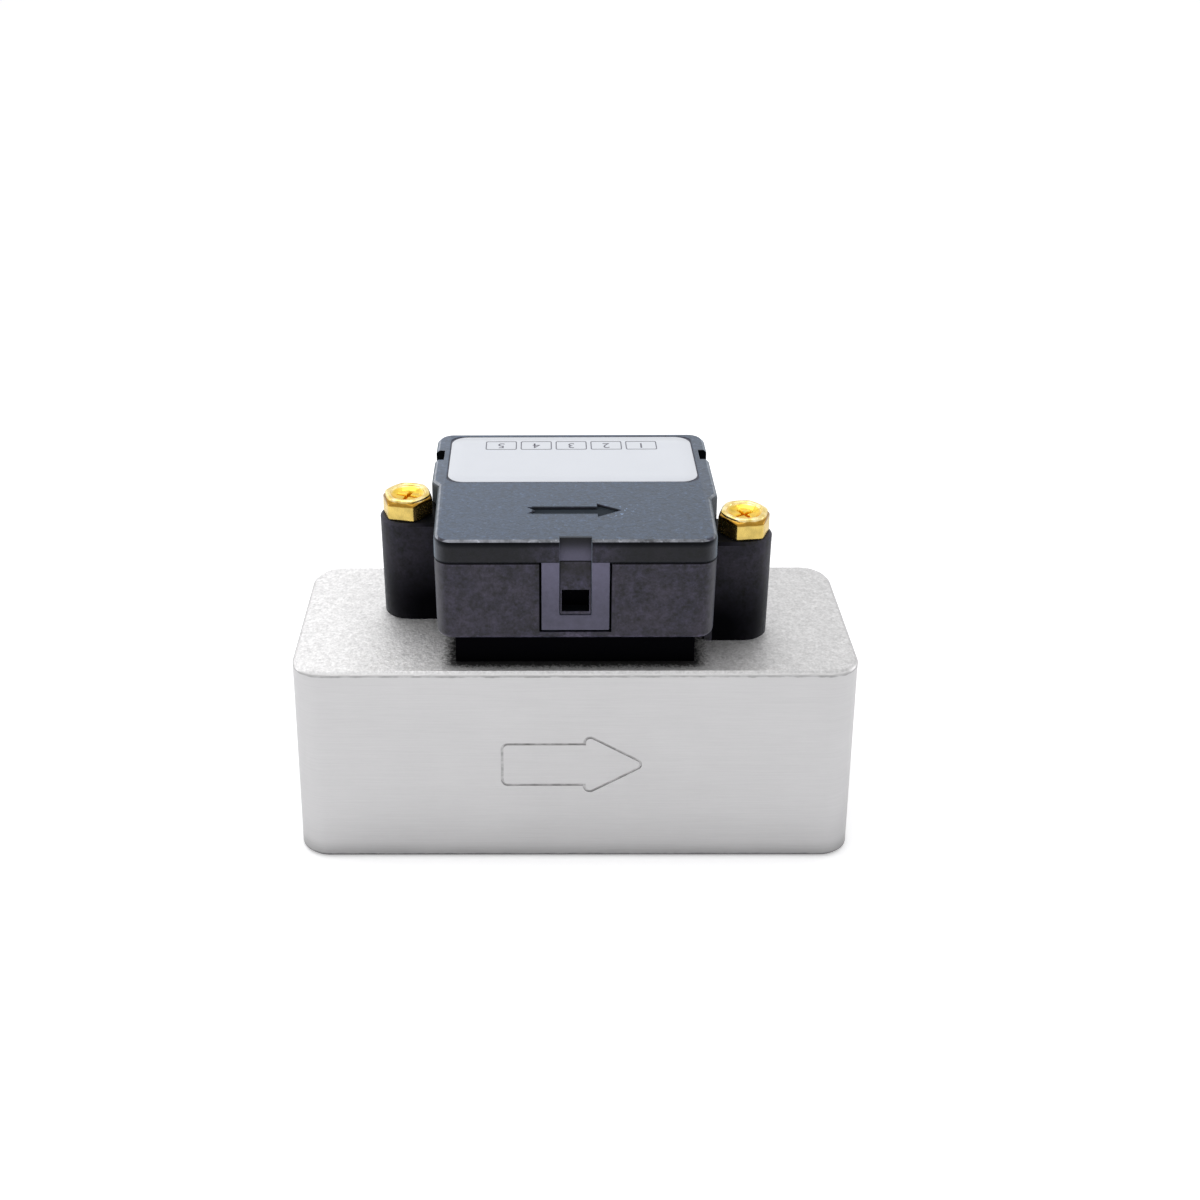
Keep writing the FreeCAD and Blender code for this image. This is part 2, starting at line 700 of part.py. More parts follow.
def add_catch(owner):
    """The recess for the lid's latch, and in it the ramped catch with a cored pocket."""
    clearance = "sizes.latch_clearance"
    recess = sketch(owner, "LatchRecess", "XZ_Plane", "sizes.case_front")
    rectangle(recess, f"-sizes.latch_width / 2 - {clearance}", f"{LATCH_FOOT} - {clearance}",
              f"sizes.latch_width / 2 + {clearance}", f"{PARTING} + {PAST}")
    pocket(owner, "LatchRecessCut", recess, f"sizes.case_front - {LATCH_SEAT}")

    side = sketch(owner, "CatchSide", "YZ_Plane")
    foot = f"{LATCH_FOOT} + sizes.latch_bar + sizes.catch_clearance * 2"
    crest = f"-{LATCH_FACE} - sizes.catch_clearance / 2"
    polygon(side, [
        (f"-{LATCH_SEAT} + sizes.catch_clearance", foot),
        (crest, foot),
        (crest, f"{foot} + sizes.catch_land"),
        (f"{crest} + sizes.catch_rise", f"{foot} + sizes.catch_height"),
        (f"-{LATCH_SEAT} + sizes.catch_clearance", f"{foot} + sizes.catch_height"),
    ])
    pad(owner, "Catch", side, "sizes.latch_window - 2 * sizes.catch_clearance", Midplane=True)
    hole = sketch(owner, "CatchPocket", "XZ_Plane", "sizes.case_front")
    half = "sizes.catch_pocket_width / 2"
    sill = f"{foot} + sizes.catch_pocket_sill"
    rectangle(hole, f"-{half}", sill, half, f"{sill} + sizes.catch_pocket_height")
    pocket(owner, "CatchPocketCut", hole, "sizes.catch_pocket_depth")


def add_board_bosses(owner):
    """Two bosses hold the board at the gasket's height and take its screws."""
    bosses = sketch(owner, "Bosses", offset=FLOOR_TOP)
    bores = sketch(owner, "BossHoles", offset=BOARD_FOOT)
    for sign in SCREW_SIDES.values():
        place = f"{sign} * {BOARD_SCREW_X}", f"{sign} * sizes.board_screw_y"
        circle(bosses, *place, "sizes.boss_radius")
        circle(bores, *place, "sizes.board_screw_radius")
    pad(owner, "BossPads", bosses, "sizes.gasket_thick")
    pocket(owner, "BossBores", bores,
           "sizes.board_screw_length - sizes.board_thick + sizes.screw_tip_gap")


def notch_outlines(made):
    """Rectangles at the housing's two sides, open outwards."""
    rear = "sizes.notch_front + sizes.notch_length"
    inner = f"{REAR_HALF} - sizes.notch_depth"
    outer = f"{REAR_HALF} + {PAST}"
    rectangle(made, f"-({outer})", "sizes.notch_front", f"-({inner})", rear)
    rectangle(made, inner, "sizes.notch_front", outer, rear)


# Lid: a shallow cap with a locating lip, a hanging latch loop, an arrow and a seat for the label
def make_lid():
    owner = body("Lid", "lid")
    plan = sketch(owner, "LidPlan", offset=PARTING)
    housing_outline(plan)
    cap = pad(owner, "LidCap", plan, "sizes.lid_height")
    rounds = dress(owner, "Fillet", "LidCorners", cap, edges(cap, at_outline_corner),
                   "sizes.case_corner")
    dress(owner, "Chamfer", "LidEdge", rounds, edges(rounds, level_at(number(LID_TOP))),
          "sizes.lid_edge")
    under = sketch(owner, "LidUnder", offset=PARTING)
    rectangle(under, f"-{INSIDE_HALF}", f"-{INSIDE_FRONT}", INSIDE_HALF, INSIDE_REAR)
    pocket(owner, "LidHollow", under, "sizes.lid_height - sizes.lid_top", Reversed=True)

    lip = sketch(owner, "LidLip", offset=LID_INSIDE)
    gap, inner = "sizes.lip_clearance", "sizes.lip_clearance + sizes.lip_thick"
    for inset in (gap, inner):
        rectangle(lip, f"-{INSIDE_HALF} + {inset}", f"-{INSIDE_FRONT} + {inset}",
                  f"{INSIDE_HALF} - ({inset})", f"{INSIDE_REAR} - ({inset})")
    depth = "sizes.lid_height - sizes.lid_top + sizes.lip_depth"
    pad(owner, "LidLipPad", lip, depth, Reversed=True)
    relief = sketch(owner, "LipRelief", offset=f"{PARTING} - sizes.lip_depth - {PAST}")
    side = f"{CONNECTOR_HALF} + sizes.lip_thick"
    rectangle(relief, f"-({side})", f"{INSIDE_REAR} - 2 * ({inner})", side,
              f"{INSIDE_REAR} - {gap} / 2")
    pocket(owner, "LipReliefCut", relief, f"{depth} + {PAST}", Reversed=True)
    add_latch(owner)

    slots = sketch(owner, "LidNotches", offset=LID_TOP)
    notch_outlines(slots)
    pocket(owner, "LidNotchCuts", slots, "sizes.lid_height")
    arrow = sketch(owner, "LidArrow", offset=LID_TOP)
    polygon(arrow, arrow_corners(
        "0", "-sizes.lid_arrow_front", "sizes.lid_arrow_length", "sizes.lid_arrow_shaft",
        "sizes.lid_arrow_head", "sizes.lid_arrow_head_length", notch="sizes.lid_arrow_notch"))
    pocket(owner, "LidArrowCut", arrow, "sizes.lid_arrow_depth")
    seat = sketch(owner, "LabelSeat", offset=LID_TOP)
    border = "sizes.label_seat_border"
    rounded_rectangle(seat, f"{LABEL_HALF} + {border}",
                      f"sizes.label_rear - sizes.label_depth - {border}",
                      f"sizes.label_rear + {border}", "sizes.label_seat_corner")
    pocket(owner, "LabelSeatCut", seat, "sizes.label_seat_depth")


def add_latch(owner):
    """A U-shaped loop hangs from the lid's front, under a sloped channel in the skirt."""
    loop = sketch(owner, "LatchLoop", "XZ_Plane", LATCH_FACE)
    half, opening = "sizes.latch_width / 2", "sizes.latch_window / 2"
    top, bar = f"{PARTING} + sizes.lid_top / 2", f"{LATCH_FOOT} + sizes.latch_bar"
    polygon(loop, [
        (f"-{half}", LATCH_FOOT), (half, LATCH_FOOT), (half, top), (opening, top),
        (opening, bar), (f"-{opening}", bar), (f"-{opening}", top), (f"-{half}", top),
    ])
    pad(owner, "LatchLoopPad", loop, "sizes.latch_thick", Reversed=True)
    side = sketch(owner, "LatchChannel", "YZ_Plane")
    past = f"-sizes.case_front - {PAST}"
    polygon(side, [
        (past, f"{PARTING} - {PAST} / 2"),
        ("-sizes.case_front + sizes.channel_depth_foot", f"{PARTING} - {PAST} / 2"),
        ("-sizes.case_front + sizes.channel_depth_top", LID_TOP),
        ("-sizes.case_front + sizes.channel_depth_top", f"{LID_TOP} + {PAST}"),
        (past, f"{LID_TOP} + {PAST}"),
    ])
    pocket(owner, "LatchChannelCut", side, "sizes.latch_window", Midplane=True)


def make_label():
    owner = body("Label", "label")
    plan = sketch(owner, "LabelPlan", offset=f"{LID_TOP} - sizes.label_seat_depth")
    rounded_rectangle(plan, LABEL_HALF, "sizes.label_rear - sizes.label_depth",
                      "sizes.label_rear", "sizes.label_corner")
    pad(owner, "LabelSheet", plan, "sizes.label_thick")


# Brass screws: a bevelled hexagon head with a dish and a cross recess, on a plain M3 shank
def make_ear_screws():
    for side, sign in SCREW_SIDES.items():
        name = side.capitalize()
        x, y = f"{sign} * {SCREW_X}", f"{-sign} * sizes.screw_y"
        corner = "sizes.head_flats / sqrt(3)"
        hexagon = doc.addObject("Part::Prism", f"{name}Hexagon")
        hexagon.Polygon = 6
        hexagon.Placement.Rotation = FreeCAD.Rotation(FreeCAD.Vector(0, 0, 1), HEAD_TURNS[side])
        bind(hexagon, Circumradius=corner, Height="sizes.head_height", x=x, y=y, z=EAR_TOP)
        cone = doc.addObject("Part::Cone", f"{name}Bevel")
        bind(cone, Radius1="sizes.head_top_radius + sizes.head_height * sizes.head_bevel_slope",
             Radius2="sizes.head_top_radius", Height="sizes.head_height", x=x, y=y, z=EAR_TOP)
        head = common(f"{name}Head", hexagon, cone)
        shank = cylinder(f"{name}Shank", "sizes.screw_radius - sizes.thread_clearance",
                         "sizes.screw_length + sizes.head_height / 2", x=x, y=y,
                         z=f"{EAR_TOP} - sizes.screw_length")
        solid = fuse(f"{name}ScrewSolid", [head, shank])
        dish = doc.addObject("Part::Cone", f"{name}Dish")
        bind(dish, Radius1="sizes.head_dish_floor", Radius2="sizes.head_dish_radius",
             Height="sizes.head_dish_depth", x=x, y=y,
             z=f"{EAR_TOP} + sizes.head_height - sizes.head_dish_depth")
        floor = f"{EAR_TOP} + sizes.head_height - sizes.cross_depth"
        slots = []
        for index, (long, short) in enumerate((("cross_length", "cross_width"),
                                               ("cross_width", "cross_length"))):
            slots.append(block(
                f"{name}Slot{index}", f"sizes.{long}", f"sizes.{short}", "sizes.cross_depth",
                f"{x} - sizes.{long} / 2", f"{y} - sizes.{short} / 2", floor))
        recess = fuse(f"{name}Recess", [dish] + slots)
        label(cut(f"{name}Screw", solid, recess), f"{side}_screw")


# Gasket, board and chip. The gasket's slot is the sensing channel between the two taps.
def make_sensing_parts():
    owner = body("ChannelGasket", "channel_gasket")
    plan = sketch(owner, "GasketPlan", offset=FLOOR_TOP)
    reach = "sizes.tap_spacing / 2"
    rounded_rectangle(plan, f"{reach} + sizes.gasket_margin", "-sizes.gasket_width / 2",
                      "sizes.gasket_width / 2", "sizes.gasket_corner")
    pad(owner, "GasketSheet", plan, "sizes.gasket_thick")
    slot = sketch(owner, "GasketSlot", offset=BOARD_FOOT)
    rounded_rectangle(slot, f"{reach} + sizes.channel_width / 2", "-sizes.channel_width / 2",
                      "sizes.channel_width / 2", "sizes.channel_corner")
    pocket(owner, "GasketSlotCut", slot, None)

    chip = block("SensorChip", "sizes.chip_length", "sizes.chip_width", "sizes.chip_thick",
                 "-sizes.chip_length / 2", "-sizes.chip_width / 2",
                 f"{BOARD_FOOT} - sizes.chip_thick")
    label(chip, "sensor_chip")

    owner = body("Board", "circuit_board")
    plan = sketch(owner, "BoardPlan", offset=BOARD_FOOT)
    gap = "sizes.board_gap"
    rectangle(plan, f"-{INSIDE_HALF} + {gap}", f"-{INSIDE_FRONT} + {gap}",
              f"{INSIDE_HALF} - {gap}", f"{INSIDE_REAR} - {gap}")
    pad(owner, "BoardSheet", plan, "sizes.board_thick")
    holes = sketch(owner, "BoardHoles", offset=BOARD_TOP)
    for sign in SCREW_SIDES.values():
        circle(holes, f"{sign} * {BOARD_SCREW_X}", f"{sign} * sizes.board_screw_y",
               "sizes.board_screw_radius + sizes.board_hole_clearance")
    drop = f"{CONNECTOR_BACK} - sizes.pin_drop_gap"
    half = "(sizes.pin_size / 2 + sizes.pin_hole_clearance)"
    for place in pin_places():
        rectangle(holes, f"{place} - {half}", f"{drop} - {half}",
                  f"{place} + {half}", f"{drop} + {half}")
    pocket(owner, "BoardDrills", holes, None)

    screws = []
    for side, sign in SCREW_SIDES.items():
        name = f"Board{side.capitalize()}Screw"
        x, y = f"{sign} * {BOARD_SCREW_X}", f"{sign} * sizes.board_screw_y"
        head = cylinder(f"{name}Head", "sizes.board_screw_head", "sizes.board_screw_head_height",
                        x=x, y=y, z=BOARD_TOP)
        shank = cylinder(f"{name}Shank", "sizes.board_screw_radius - sizes.thread_clearance",
                         "sizes.board_screw_length + sizes.board_screw_head_height / 2",
                         x=x, y=y, z=f"{BOARD_TOP} - sizes.board_screw_length")
        drive = doc.addObject("Part::Prism", f"{name}Socket")
        drive.Polygon = 6
        bind(drive, Circumradius="sizes.board_screw_flats / sqrt(3)",
             Height="sizes.board_screw_head_height", x=x, y=y,
             z=f"{BOARD_TOP} + sizes.board_screw_head_height / 2")
        screws.append(cut(name, fuse(f"{name}Solid", [head, shank]), drive))
    label(group("BoardScrews", screws), "board_screws")


def pin_places():
    """The X of each connector pin."""
    count = int(number("sizes.pin_count"))
    return [f"sizes.pin_pitch * ({i} - (sizes.pin_count - 1) / 2)" for i in range(count)]


# Connector: a shrouded right-angle header whose mouth is in the case's rear wall
def make_connector():
    owner = body("ConnectorHousing", "connector_housing")
    shell = sketch(owner, "ConnectorShell", "XZ_Plane", f"-{CONNECTOR_MOUTH}")
    rectangle(shell, f"-{CONNECTOR_HALF}", BOARD_TOP, CONNECTOR_HALF,
              f"{BOARD_TOP} + sizes.connector_height")
    pad(owner, "ConnectorShellPad", shell, "sizes.connector_length")
    mouth = sketch(owner, "ConnectorSocket", "XZ_Plane",
                   f"-({CONNECTOR_BACK} + sizes.connector_back)")
    wall = "sizes.connector_wall"
    rectangle(mouth, f"-{CONNECTOR_HALF} + {wall}", f"{BOARD_TOP} + {wall}",
              f"{CONNECTOR_HALF} - {wall}", f"{BOARD_TOP} + sizes.connector_height - {wall}")
    pocket(owner, "ConnectorSocketCut", mouth, f"sizes.connector_length + {PAST}")
    keys = sketch(owner, "ConnectorKeys", "XZ_Plane",
                  f"-({CONNECTOR_BACK} + sizes.connector_back + {PAST})")
    for sign in ("-", ""):
        place = f"{sign}sizes.connector_key_place"
        rectangle(keys, f"{place} - sizes.connector_key_width / 2",
                  f"{BOARD_TOP} + sizes.connector_height - {wall} - sizes.connector_key_step",
                  f"{place} + sizes.connector_key_width / 2",
                  f"{BOARD_TOP} + sizes.connector_height + {PAST}")
    pocket(owner, "ConnectorKeyCuts", keys, "sizes.connector_length")
    bores = sketch(owner, "PinBores", "XZ_Plane", f"-({CONNECTOR_BACK} - {PAST})")
    half = "sizes.pin_size / 2"
    for place in pin_places():
        rectangle(bores, f"{place} - {half}", f"{PIN_AXIS} - {half}",
                  f"{place} + {half}", f"{PIN_AXIS} + {half}")
    pocket(owner, "PinBoreCuts", bores, f"sizes.connector_back + {2 * PAST}")

    pins = []
    drop = f"({CONNECTOR_BACK} - sizes.pin_drop_gap)"
    for index, place in enumerate(pin_places()):
        blade = block(f"PinBlade{index}", "sizes.pin_size",
                      f"{CONNECTOR_MOUTH} - sizes.pin_setback - {drop} + {half}",
                      "sizes.pin_size", f"{place} - {half}", f"{drop} - {half}",
                      f"{PIN_AXIS} - {half}")
        tail_foot = f"({BOARD_FOOT} - sizes.pin_tail)"
        tail = block(f"PinTail{index}", "sizes.pin_size", "sizes.pin_size",
                     f"{PIN_AXIS} - {tail_foot}", f"{place} - {half}", f"{drop} - {half}",
                     tail_foot)
        pins.append(fuse(f"Pin{index}", [blade, tail]))
    label(group("Pins", pins), "connector_pins")


# Electronic parts: packages with their leads, and chip parts laid out on a grid. The grid's
# seventh column keeps clear of the board screws' heads.
CLEAR_COLUMN = 7
CHIP_PARTS = {
    "capacitor": ((-CLEAR_COLUMN, -5.5), (-4, -7), (1, -7), (6, 1)),
    "resistor": ((6, -6), (6, -4), (6, -2), (-9, -3), (-9, -1), (3, 1)),
}
COLUMN_PITCH = (f"(({BOARD_SCREW_X} - sizes.board_screw_head - sizes.part_clearance)"
                f" / {CLEAR_COLUMN})")


def make_board_parts():
    front = "sizes.processor_rear - sizes.processor_width"
    package = block(
        "ProcessorPackage", "sizes.processor_length", "sizes.processor_width",
        "sizes.processor_height - sizes.package_standoff", "-sizes.processor_length / 2",
        front, f"{BOARD_TOP} + sizes.package_standoff")
    leads = []
    for index in range(int(number("sizes.processor_leads"))):
        place = f"sizes.lead_pitch * ({index} - (sizes.processor_leads - 1) / 2)"
        leads.append(block(
            f"ProcessorLead{index}", "sizes.lead_width",
            "sizes.processor_width + 2 * sizes.lead_reach", "sizes.lead_height",
            f"{place} - sizes.lead_width / 2", f"{front} - sizes.lead_reach", BOARD_TOP))
    label(fuse("Processor", [package] + leads), "signal_processor")

    left = f"-({INSIDE_HALF} - sizes.regulator_margin)"
    regulator = block("RegulatorPackage", "sizes.regulator_length", "sizes.regulator_width",
                      "sizes.regulator_height", left, "sizes.regulator_front", BOARD_TOP)
    middle = f"{left} + sizes.regulator_length / 2"
    legs = [block(
        f"RegulatorLeg{index}", "sizes.lead_width", "sizes.lead_reach * 2", "sizes.lead_width",
        f"{middle} + sizes.regulator_pitch * {index - 1} - sizes.lead_width / 2",
        "sizes.regulator_front - sizes.lead_reach", BOARD_TOP) for index in range(3)]
    label(fuse("Regulator", [regulator] + legs), "voltage_regulator")

    for kind, places in CHIP_PARTS.items():
        size = [f"sizes.{kind}_{side}" for side in ("length", "width", "height")]
        chips = [block(f"{kind.capitalize()}{index}", *size, f"{x} * {COLUMN_PITCH}",
                       f"{y} * sizes.part_row_pitch", BOARD_TOP)
                 for index, (x, y) in enumerate(places)]
        label(group(f"{kind.capitalize()}s", chips), f"{kind}s")


make_flow_block()
make_gas_path()
make_sensor_case()
make_lid()
make_label()
make_ear_screws()
make_sensing_parts()
make_connector()
make_board_parts()
doc.recompute()

NODES = (
    "flow_block", "laminar_element", "inlet_screen", "outlet_screen", "inlet_screen_ring",
    "outlet_screen_ring", "inlet_tap_seal", "outlet_tap_seal", "sensor_case", "lid", "label",
    "left_screw", "right_screw", "channel_gasket", "circuit_board", "sensor_chip",
    "board_screws", "connector_housing", "connector_pins", "signal_processor",
    "voltage_regulator", "capacitors", "resistors",
)

for thing in doc.Objects:
    if "Invalid" in thing.State or "Error" in thing.State:
        raise RuntimeError(f"{thing.Name} failed: {thing.State}")
shapes = {}
for node in NODES:
    shape = doc.getObjectsByLabel(node)[0].Shape
    if shape.isNull() or not shape.isValid() or not shape.Solids:
        raise RuntimeError(f"{node} has no valid solid")
    shapes[node] = shape
os.makedirs("parts", exist_ok=True)
for node, shape in shapes.items():
    shape.exportStep(f"parts/{node}.step")
    box = shape.BoundBox
    print(f"{node:20s} {len(shape.Solids)} solid(s) {shape.Volume:10.2f} mm3 "
          f"X {box.XMin:.2f}..{box.XMax:.2f} Y {box.YMin:.2f}..{box.YMax:.2f} "
          f"Z {box.ZMin:.2f}..{box.ZMax:.2f}")
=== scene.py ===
import json
import math

import bmesh
import bpy
import numpy as np
from bpy.props import FloatProperty, FloatVectorProperty, PointerProperty
from bpy.types import Operator, Panel, PropertyGroup
from mathutils import Matrix, Vector


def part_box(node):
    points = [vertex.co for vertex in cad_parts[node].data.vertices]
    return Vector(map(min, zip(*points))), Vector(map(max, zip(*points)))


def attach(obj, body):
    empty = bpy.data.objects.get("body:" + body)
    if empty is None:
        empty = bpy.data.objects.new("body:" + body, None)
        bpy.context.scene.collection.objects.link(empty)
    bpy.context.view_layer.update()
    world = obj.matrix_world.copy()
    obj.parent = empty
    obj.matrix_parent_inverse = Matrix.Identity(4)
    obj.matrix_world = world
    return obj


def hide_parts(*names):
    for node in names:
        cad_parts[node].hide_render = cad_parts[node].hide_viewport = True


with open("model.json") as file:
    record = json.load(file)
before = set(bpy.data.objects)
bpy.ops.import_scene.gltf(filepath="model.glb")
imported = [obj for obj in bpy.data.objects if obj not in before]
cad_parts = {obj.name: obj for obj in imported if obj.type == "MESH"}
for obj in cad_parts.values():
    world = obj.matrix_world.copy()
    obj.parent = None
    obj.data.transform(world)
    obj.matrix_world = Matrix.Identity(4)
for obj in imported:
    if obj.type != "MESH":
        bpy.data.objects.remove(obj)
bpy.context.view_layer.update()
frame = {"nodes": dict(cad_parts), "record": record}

bl_info = {
    "name": "Gas Mass Flow Sensor",
    "version": (1, 0, 0),
    "blender": (4, 5, 0),
    "location": "View3D > Sidebar > Flow Sensor",
    "description": "Builds the surfaces, finishes and studio of a gas mass flow sensor",
    "category": "Object",
}

# Lengths are in millimetres, except the settings' own, which Blender holds in metres
MM = 0.001
MERGE = 0.002
TAU = 2 * math.pi


def cad_box(node):
    """Lowest and highest corner of a CAD node, in millimetres."""
    low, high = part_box(node)
    return np.array(low) / MM, np.array(high) / MM


BLOCK_LOW, BLOCK_HIGH = cad_box("flow_block")
CASE_LOW, CASE_HIGH = cad_box("sensor_case")
LID_LOW, LID_HIGH = cad_box("lid")
LABEL_LOW, LABEL_HIGH = cad_box("label")
BOARD_TOP = cad_box("signal_processor")[0][2]
PORT_AXIS = (BLOCK_LOW[2] + BLOCK_HIGH[2]) / 2
LID_TOP = LID_HIGH[2]
SKIRT_DEPTH, HOUSING_GAP, EAR_HEIGHT = 2.7, 3.5, 12.75
PARTING = LID_TOP - SKIRT_DEPTH
CASE_FOOT = BLOCK_HIGH[2] + HOUSING_GAP
CASE_FRONT = CASE_LOW[1]
LATCH_FOOT = LID_LOW[2]
EAR_TOP = BLOCK_HIGH[2] + EAR_HEIGHT

# Where the finishes place their bands: HALF and SIDE count from the middle along X, FRONT, BACK
# and Y are places along Y with LENGTH between them, LOW and HIGH are heights
ARROW_HALF, ARROW_LOW, ARROW_HIGH = 12.0, 6.0, 20.0
# These bound a painted shadow on the block's top, under and round the case's foot
CASE_SHADOW_HALF, CASE_SHADOW_FRONT, CASE_SHADOW_BACK = 13.6, -10.1, 11.5
EAR_SIDE, EAR_BACK = 16.08, 6.2
NOTCH_SIDE, NOTCH_FRONT, NOTCH_LENGTH = 15.7, 10.3, 2.8
LATCH_HALF, RECESS_HALF = 3.72, 4.10
WINDOW_HALF, RAMP_HALF, CHANNEL_HALF = 1.56, 1.78, 1.82
LID_ARROW_Y = -3.75


# Sizes and colours that a user would change
class SurfaceSizes(PropertyGroup):
    """Fine sizes that the solids leave to the surfaces."""
    machined_edge: FloatProperty(
        name="Machined edge", description="Width of the rounding on the aluminium's edges",
        default=0.08 * MM, unit="LENGTH", precision=5)
    moulded_edge: FloatProperty(
        name="Moulded edge", description="Width of the rounding on the housing's edges",
        default=0.14 * MM, unit="LENGTH", precision=5)
    small_edge: FloatProperty(
        name="Small edge", description="Width of the rounding on the connector and its pins",
        default=0.05 * MM, unit="LENGTH", precision=5)
    thread_pitch: FloatProperty(
        name="Thread pitch", description="Pitch of the thread in the gas ports",
        default=1.337 * MM, unit="LENGTH", precision=5)
    thread_depth: FloatProperty(
        name="Thread depth", description="Depth of the thread in the gas ports",
        default=0.62 * MM, unit="LENGTH", precision=5)
    print_height: FloatProperty(
        name="Print height", description="Height of the pin numbers on the label",
        default=1.5 * MM, unit="LENGTH", precision=5)


class SurfaceColours(PropertyGroup):
    """Base colours of the visible finishes."""
    aluminium: FloatVectorProperty(
        name="Aluminium", description="Reflected colour of the flow block",
        default=(0.735, 0.73, 0.733), subtype="COLOR", min=0, max=1)
    housing: FloatVectorProperty(
        name="Housing", description="Colour of the moulded case and lid",
        default=(0.022, 0.020, 0.036), subtype="COLOR", min=0, max=1)
    latch: FloatVectorProperty(
        name="Latch", description="Colour of the smooth snap latch",
        default=(0.085, 0.080, 0.125), subtype="COLOR", min=0, max=1)
    brass: FloatVectorProperty(
        name="Brass", description="Reflected colour of the two housing screws",
        default=(0.90, 0.66, 0.185), subtype="COLOR", min=0, max=1)
    label: FloatVectorProperty(
        name="Label", description="Colour of the label's film",
        default=(0.73, 0.755, 0.80), subtype="COLOR", min=0, max=1)
    ink: FloatVectorProperty(
        name="Ink", description="Colour of the label's print",
        default=(0.11, 0.11, 0.14), subtype="COLOR", min=0, max=1)
    floor: FloatVectorProperty(
        name="Floor", description="Colour of the pale floor",
        default=(0.93, 0.93, 0.93), subtype="COLOR", min=0, max=1)


class StudioLevels(PropertyGroup):
    """Levels of the studio's soft light."""
    ambient: FloatProperty(
        name="Ambient", description="Level of the light from all round", default=0.66, min=0)
    overhead: FloatProperty(
        name="Overhead", description="Power of the softbox above, in watts", default=0.9, min=0)
    rear_left: FloatProperty(
        name="Rear left", description="Power of the softbox behind on the left, in watts",
        default=0.12, min=0)
    side: FloatProperty(
        name="Side", default=0.25, min=0,
        description="Power of the softbox on the left, in watts; the right one has a share of it")


class SensorSettings(PropertyGroup):
    """All settings of the flow sensor."""
    sizes: PointerProperty(type=SurfaceSizes)
    colours: PointerProperty(type=SurfaceColours)
    studio: PointerProperty(type=StudioLevels)


# Shader maths: a wire is an output in a material's nodes, and arithmetic on it adds Math nodes
class Wire:
    """One output of a finish's nodes, usable in expressions."""

    def __init__(self, finish, socket):
        self.finish = finish
        self.socket = socket

    def _math(self, operation, first, second):
        return self.finish.node("Math", {"operation": operation}, {0: first, 1: second})

    def __add__(self, other):
        return self._math("ADD", self, other)

    __radd__ = __add__

    def __sub__(self, other):
        return self._math("SUBTRACT", self, other)

    def __rsub__(self, other):
        return self._math("SUBTRACT", other, self)

    def __mul__(self, other):
        return self._math("MULTIPLY", self, other)

    __rmul__ = __mul__

    def size(self):
        """The number without its sign."""
        return self.finish.node("Math", {"operation": "ABSOLUTE"}, {0: self})

    def most(self, other):
        """The larger of two numbers."""
        return self._math("MAXIMUM", self, other)

    def above(self, limit, blur):
        """Rises smoothly from 0 to 1 as the number passes a limit."""
        return self.finish.node(
            "MapRange", {"interpolation_type": "SMOOTHSTEP"},
            {0: self, 1: limit - blur / 2, 2: limit + blur / 2, 3: 0.0, 4: 1.0})

    def between(self, low, high, blur):
        """One inside a band and zero outside it."""
        return self.above(low, blur) * (1 - self.above(high, blur))


class Finish:
    """A procedural material whose patterns are laid out in millimetres on the object."""

    def __init__(self, name, colour, roughness, metallic=0.0, **constants):
        self.material = bpy.data.materials.new(name)
        self.material.use_nodes = True
        self.tree = self.material.node_tree
        self.shader = self.tree.nodes["Principled BSDF"]
        self.colour = tuple(colour)
        self.put("Base Color", self.colour)
        self.put("Roughness", roughness)
        self.put("Metallic", metallic)
        for socket, value in constants.items():
            self.put(socket.replace("_", " "), value)
        self.place = self.node(
            "VectorMath", {"operation": "SCALE"},
            {0: self.node("TexCoord", output="Object"), "Scale": 1 / MM})

    def node(self, kind, settings=None, sockets=None, output=0):
        """Adds a node: its settings first, then the values or links of its sockets."""
        made = self.tree.nodes.new("ShaderNode" + kind)
        for name, value in (settings or {}).items():
            setattr(made, name, value)
        for key, value in (sockets or {}).items():
            self._feed(made.inputs[key], value)
        return Wire(self, made.outputs[output])

    def _feed(self, socket, value):
        if isinstance(value, Wire):
            self.tree.links.new(value.socket, socket)
        elif socket.type == "RGBA":
            socket.default_value = (*value, 1.0) if len(value) == 3 else value
        else:
            socket.default_value = value

    def put(self, name, value):
        """Sets or links one socket of the shader."""
        self._feed(self.shader.inputs[name], value)

    def axes(self):
        """The object's X, Y and Z in millimetres."""
        split = self.node("SeparateXYZ", sockets={0: self.place})
        outputs = split.socket.node.outputs
        return [Wire(self, outputs[i]) for i in range(3)]

    def noise(self, grain, detail=2.0, stretch=(1, 1, 1), roughness=0.5):
        """Noise from -1 to 1 whose lumps are about one grain across; stretch lengthens them."""
        place = self.node("VectorMath", {"operation": "DIVIDE"},
                          {0: self.place, 1: tuple(grain * s for s in stretch)})
        made = self.node("TexNoise", sockets={
            "Vector": place, "Scale": 1.0, "Detail": detail, "Roughness": roughness})
        return made * 2.0 - 1.0

    def tint(self, amount, colour, under=None):
        """Mixes a colour over another by an amount from 0 to 1."""
        return self.node("Mix", {"data_type": "RGBA"}, {
            0: amount, 6: self.colour if under is None else under, 7: colour}, output=2)

    def shade(self, level, under=None):
        """Makes a colour lighter or darker by a level around 1."""
        grey = self.node("CombineColor", sockets={0: level, 1: level, 2: level})
        return self.node("Mix", {"data_type": "RGBA", "blend_type": "MULTIPLY"}, {
            0: 1.0, 6: self.colour if under is None else under, 7: grey}, output=2)

    def relief(self, height):
        """Feeds a height in millimetres to the shader's normal."""
        self.put("Normal", self.node("Bump", sockets={
            "Height": height, "Strength": 1.0, "Distance": MM}))
        return self.material


